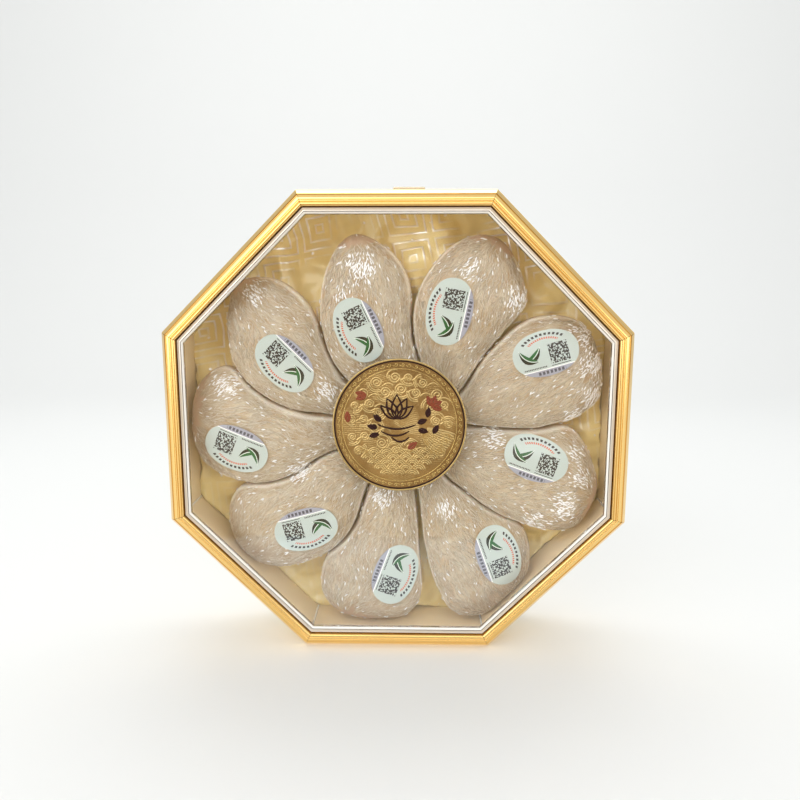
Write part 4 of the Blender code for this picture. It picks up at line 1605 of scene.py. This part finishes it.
    def waves(self) -> list[np.ndarray]:
        """Rows of overlapping wave arcs across the lower field."""
        drawn = []
        for row in range(5):
            for k in range(-5, 6):
                middle = np.array([k * 7.4 + row % 2 * 3.7, -17.0 - row * 3.1])
                for reach in (3.7, 2.6, 1.5):
                    turns = np.radians(np.linspace(14, 166, 12))
                    drawn.append(middle + reach * circle_of(turns))
        return self.inside(drawn)

    def emblem(self) -> list[np.ndarray]:
        """An open lotus over its leaves and ripples, in dark strokes."""
        drawn = []
        for heading, length, width in ((90, 14.0, 6.0), (64, 13.0, 5.4), (116, 13.0, 5.4), (38, 12.0, 4.6),
                                       (142, 12.0, 4.6)):
            drawn += petal((-1.5, 4.0), length, width, heading)
        for x, y, r in ((-1.5, 0.0, 11.0), (-2.5, -4.0, 8.0), (0.5, -7.5, 5.0)):
            t = np.linspace(-1.0, 1.0, 14)
            drawn.append(np.stack([x + r * t, y - 2.0 + 2.6 * t * t], 1))
        for x, y, heading in ((-13.0, -1.5, 165), (-12.0, -5.0, 195), (-10.5, 2.5, 140), (10.5, 1.5, 20),
                              (11.0, -2.5, -12), (16.0, 5.0, 80), (19.5, -4.5, 60)):
            drawn += self.leaf((x, y), 5.6, 2.2, heading)
        return drawn

    def leaf(self, base: tuple[float, float], length: float, width: float, heading: float) -> list[np.ndarray]:
        """A small leaf: each side of a petal, and a line half way from it to the middle."""
        drawn = []
        for side in petal(base, length, width, heading):
            drawn += [side, side * 0.5 + np.linspace(side[0], side[-1], len(side)) * 0.5]
        return drawn

    def sprays(self) -> list[np.ndarray]:
        """Sprays of small copper-red leaves."""
        drawn = []
        for x, y, heading in ((18.5, 11.5, 70), (18.5, 11.5, 25), (18.5, 11.5, -20), (18.5, 11.5, 115),
                              (-19.0, 17.5, 165), (-19.0, 17.5, 200), (-29.5, 2.0, 95), (5.0, -13.5, 35)):
            drawn += self.leaf((x, y), 6.2, 2.6, heading)
        return drawn


def ring_tree(finish: Finish) -> bpy.types.NodeTree:
    """A tree that repeats its mesh round a circle, each copy turned to face the middle.

    Args:
        finish: What the copies are made of.

    Returns:
        The tree, with the inputs Geometry, Count and Radius.
    """
    tree, given = new_tree("motifs round a circle", Count="Int", Radius="Float")
    circle = add(tree, "GeometryNodeMeshCircle", {"Vertices": given["Count"], "Radius": given["Radius"]})
    place = add(tree, "GeometryNodeInputPosition")
    turned = add(tree, "FunctionNodeAxesToRotation", {"Primary Axis": (0.0, 0.0, 1.0), "Secondary Axis": place},
                 primary_axis="Z", secondary_axis="Y")
    copies = add(tree, "GeometryNodeInstanceOnPoints", {"Points": circle, "Instance": given["Geometry"],
                                                        "Rotation": turned})
    real = add(tree, REAL, {"Geometry": copies})
    painted = add(tree, PAINTED, {"Geometry": real, "Material": finish.make()})
    add(tree, "NodeGroupOutput", {"Geometry": painted})
    return tree


@dataclass
class Studio:
    """A seamless white sweep, soft lamps and the camera."""

    floor: str = "#DBDCDB"
    glow: float = 0.89
    eye: tuple[float, float, float] = (0.010584, -0.427727, 0.218737)
    tilt: float = 0.162775
    yaw: float = 0.021095
    lens: float = 31.959

    def build(self) -> None:
        """Sets the stage round the box."""
        self.sweep()
        self.flag()
        self.world()
        self.lamp("key softbox", (-1.1, -1.5, 1.15), (0.0, 0.0, 0.13), (1.7, 1.7), 11.0)
        self.lamp("front softbox", (-0.1, -1.8, 1.12), (0.0, 0.0, 0.13), (2.4, 1.1), 11.0)
        self.lamp("low left softbox", (-1.4, -1.15, 0.3), (0.0, 0.0, 0.16), (1.6, 0.6), 6.0)
        self.lamp("low right softbox", (1.4, -1.15, 0.3), (0.0, 0.0, 0.16), (1.6, 0.6), 5.5)
        self.lamp("overhead softbox", (0.0, 0.46, 1.2), (0.0, 0.0, 0.25), (1.3, 0.5), 5.5)
        self.lamp("backdrop softbox", (0.0, 0.75, 1.7), (0.0, 2.1, 0.7), (2.4, 0.5), 8.0)
        data = bpy.data.cameras.new("camera")
        data.lens = self.lens
        data.clip_start, data.clip_end = 0.01, 20.0
        camera = bpy.data.objects.new("camera", data)
        camera.location = self.eye
        camera.rotation_euler = (math.pi / 2 - self.tilt, 0.0, self.yaw)
        bpy.context.scene.collection.objects.link(camera)
        bpy.context.scene.camera = camera
        bpy.context.scene.view_settings.view_transform = "Standard"
        # Light keeps its direction through the flat pane, as it does through real acrylic
        bpy.context.scene.cycles.blur_glossy = 0.0

    def world(self) -> None:
        """Lights the room evenly."""
        world = bpy.data.worlds.new("white room")
        bpy.context.scene.world = world
        world.use_nodes = True
        feed(world.node_tree.nodes["Background"], {"Color": tone("#FEFFFF"), "Strength": self.glow})

    def sweep(self) -> None:
        """A floor that curves up into a wall behind the box."""
        line = [(-4.0, 0.0), (0.9, 0.0)]
        line += [(0.9 + 1.2 * math.sin(t), 1.2 - 1.2 * math.cos(t)) for t in np.linspace(0.1, math.pi / 2, 16)]
        line.append((2.1, 4.0))
        points = [(x, y, z) for x in (-5.0, 5.0) for y, z in line]
        count = len(line)
        faces = [(k, k + count, k + count + 1, k + 1) for k in range(count - 1)]
        mesh = bpy.data.meshes.new("sweep")
        mesh.from_pydata(points, [], faces)
        mesh.shade_smooth()
        sweep = new_object("white_sweep", mesh)
        Moulded("matt white paper sweep", self.floor, 0.6, second=self.floor, grain_height_mm=0.0).put_on(sweep)

    def flag(self) -> None:
        """A tan cloth under and behind the camera, so that the pane doesn't mirror the white floor."""
        points = [(side * x, y, z) for x, y, z in ((0.24, -0.21, 0.002), (0.7, -1.7, 0.002), (0.7, -1.7, 0.47))
                  for side in (-1, 1)]
        mesh = bpy.data.meshes.new("flag")
        mesh.from_pydata(points, [], [(0, 1, 3, 2), (2, 3, 5, 4)])
        flag = new_object("tan_flag", mesh)
        Finish("matt tan felt", "#B99E74", 0.9).put_on(flag)

    def lamp(self, name: str, place: tuple[float, float, float], aim: tuple[float, float, float],
             size: tuple[float, float], power: float) -> None:
        """Hangs one soft lamp.

        Args:
            name: The lamp's name.
            place: Where it hangs, in metres.
            aim: What it is turned to.
            size: Its width and height.
            power: Its power in watts.
        """
        data = bpy.data.lights.new(name, "AREA")
        data.shape = "RECTANGLE"
        data.size, data.size_y = size
        data.energy = power
        lamp = bpy.data.objects.new(name, data)
        lamp.location = place
        lamp.rotation_euler = (Vector(aim) - Vector(place)).to_track_quat("-Z", "Y").to_euler()
        lamp.visible_camera = False
        bpy.context.scene.collection.objects.link(lamp)


def main() -> None:
    """Builds every piece from the frame inwards, then the studio."""
    logging.basicConfig(level=logging.INFO, format="%(name)s: %(message)s")
    Moulding().build()
    Window().build()
    Tray().build()
    stickers = Stickers()
    stickers.measure()
    nests = Nests()
    nests.build(stickers)
    stickers.build()
    SatinPad().build(nests)
    Medallion().build()
    Studio().build()


if __name__ == "__main__":
    main()
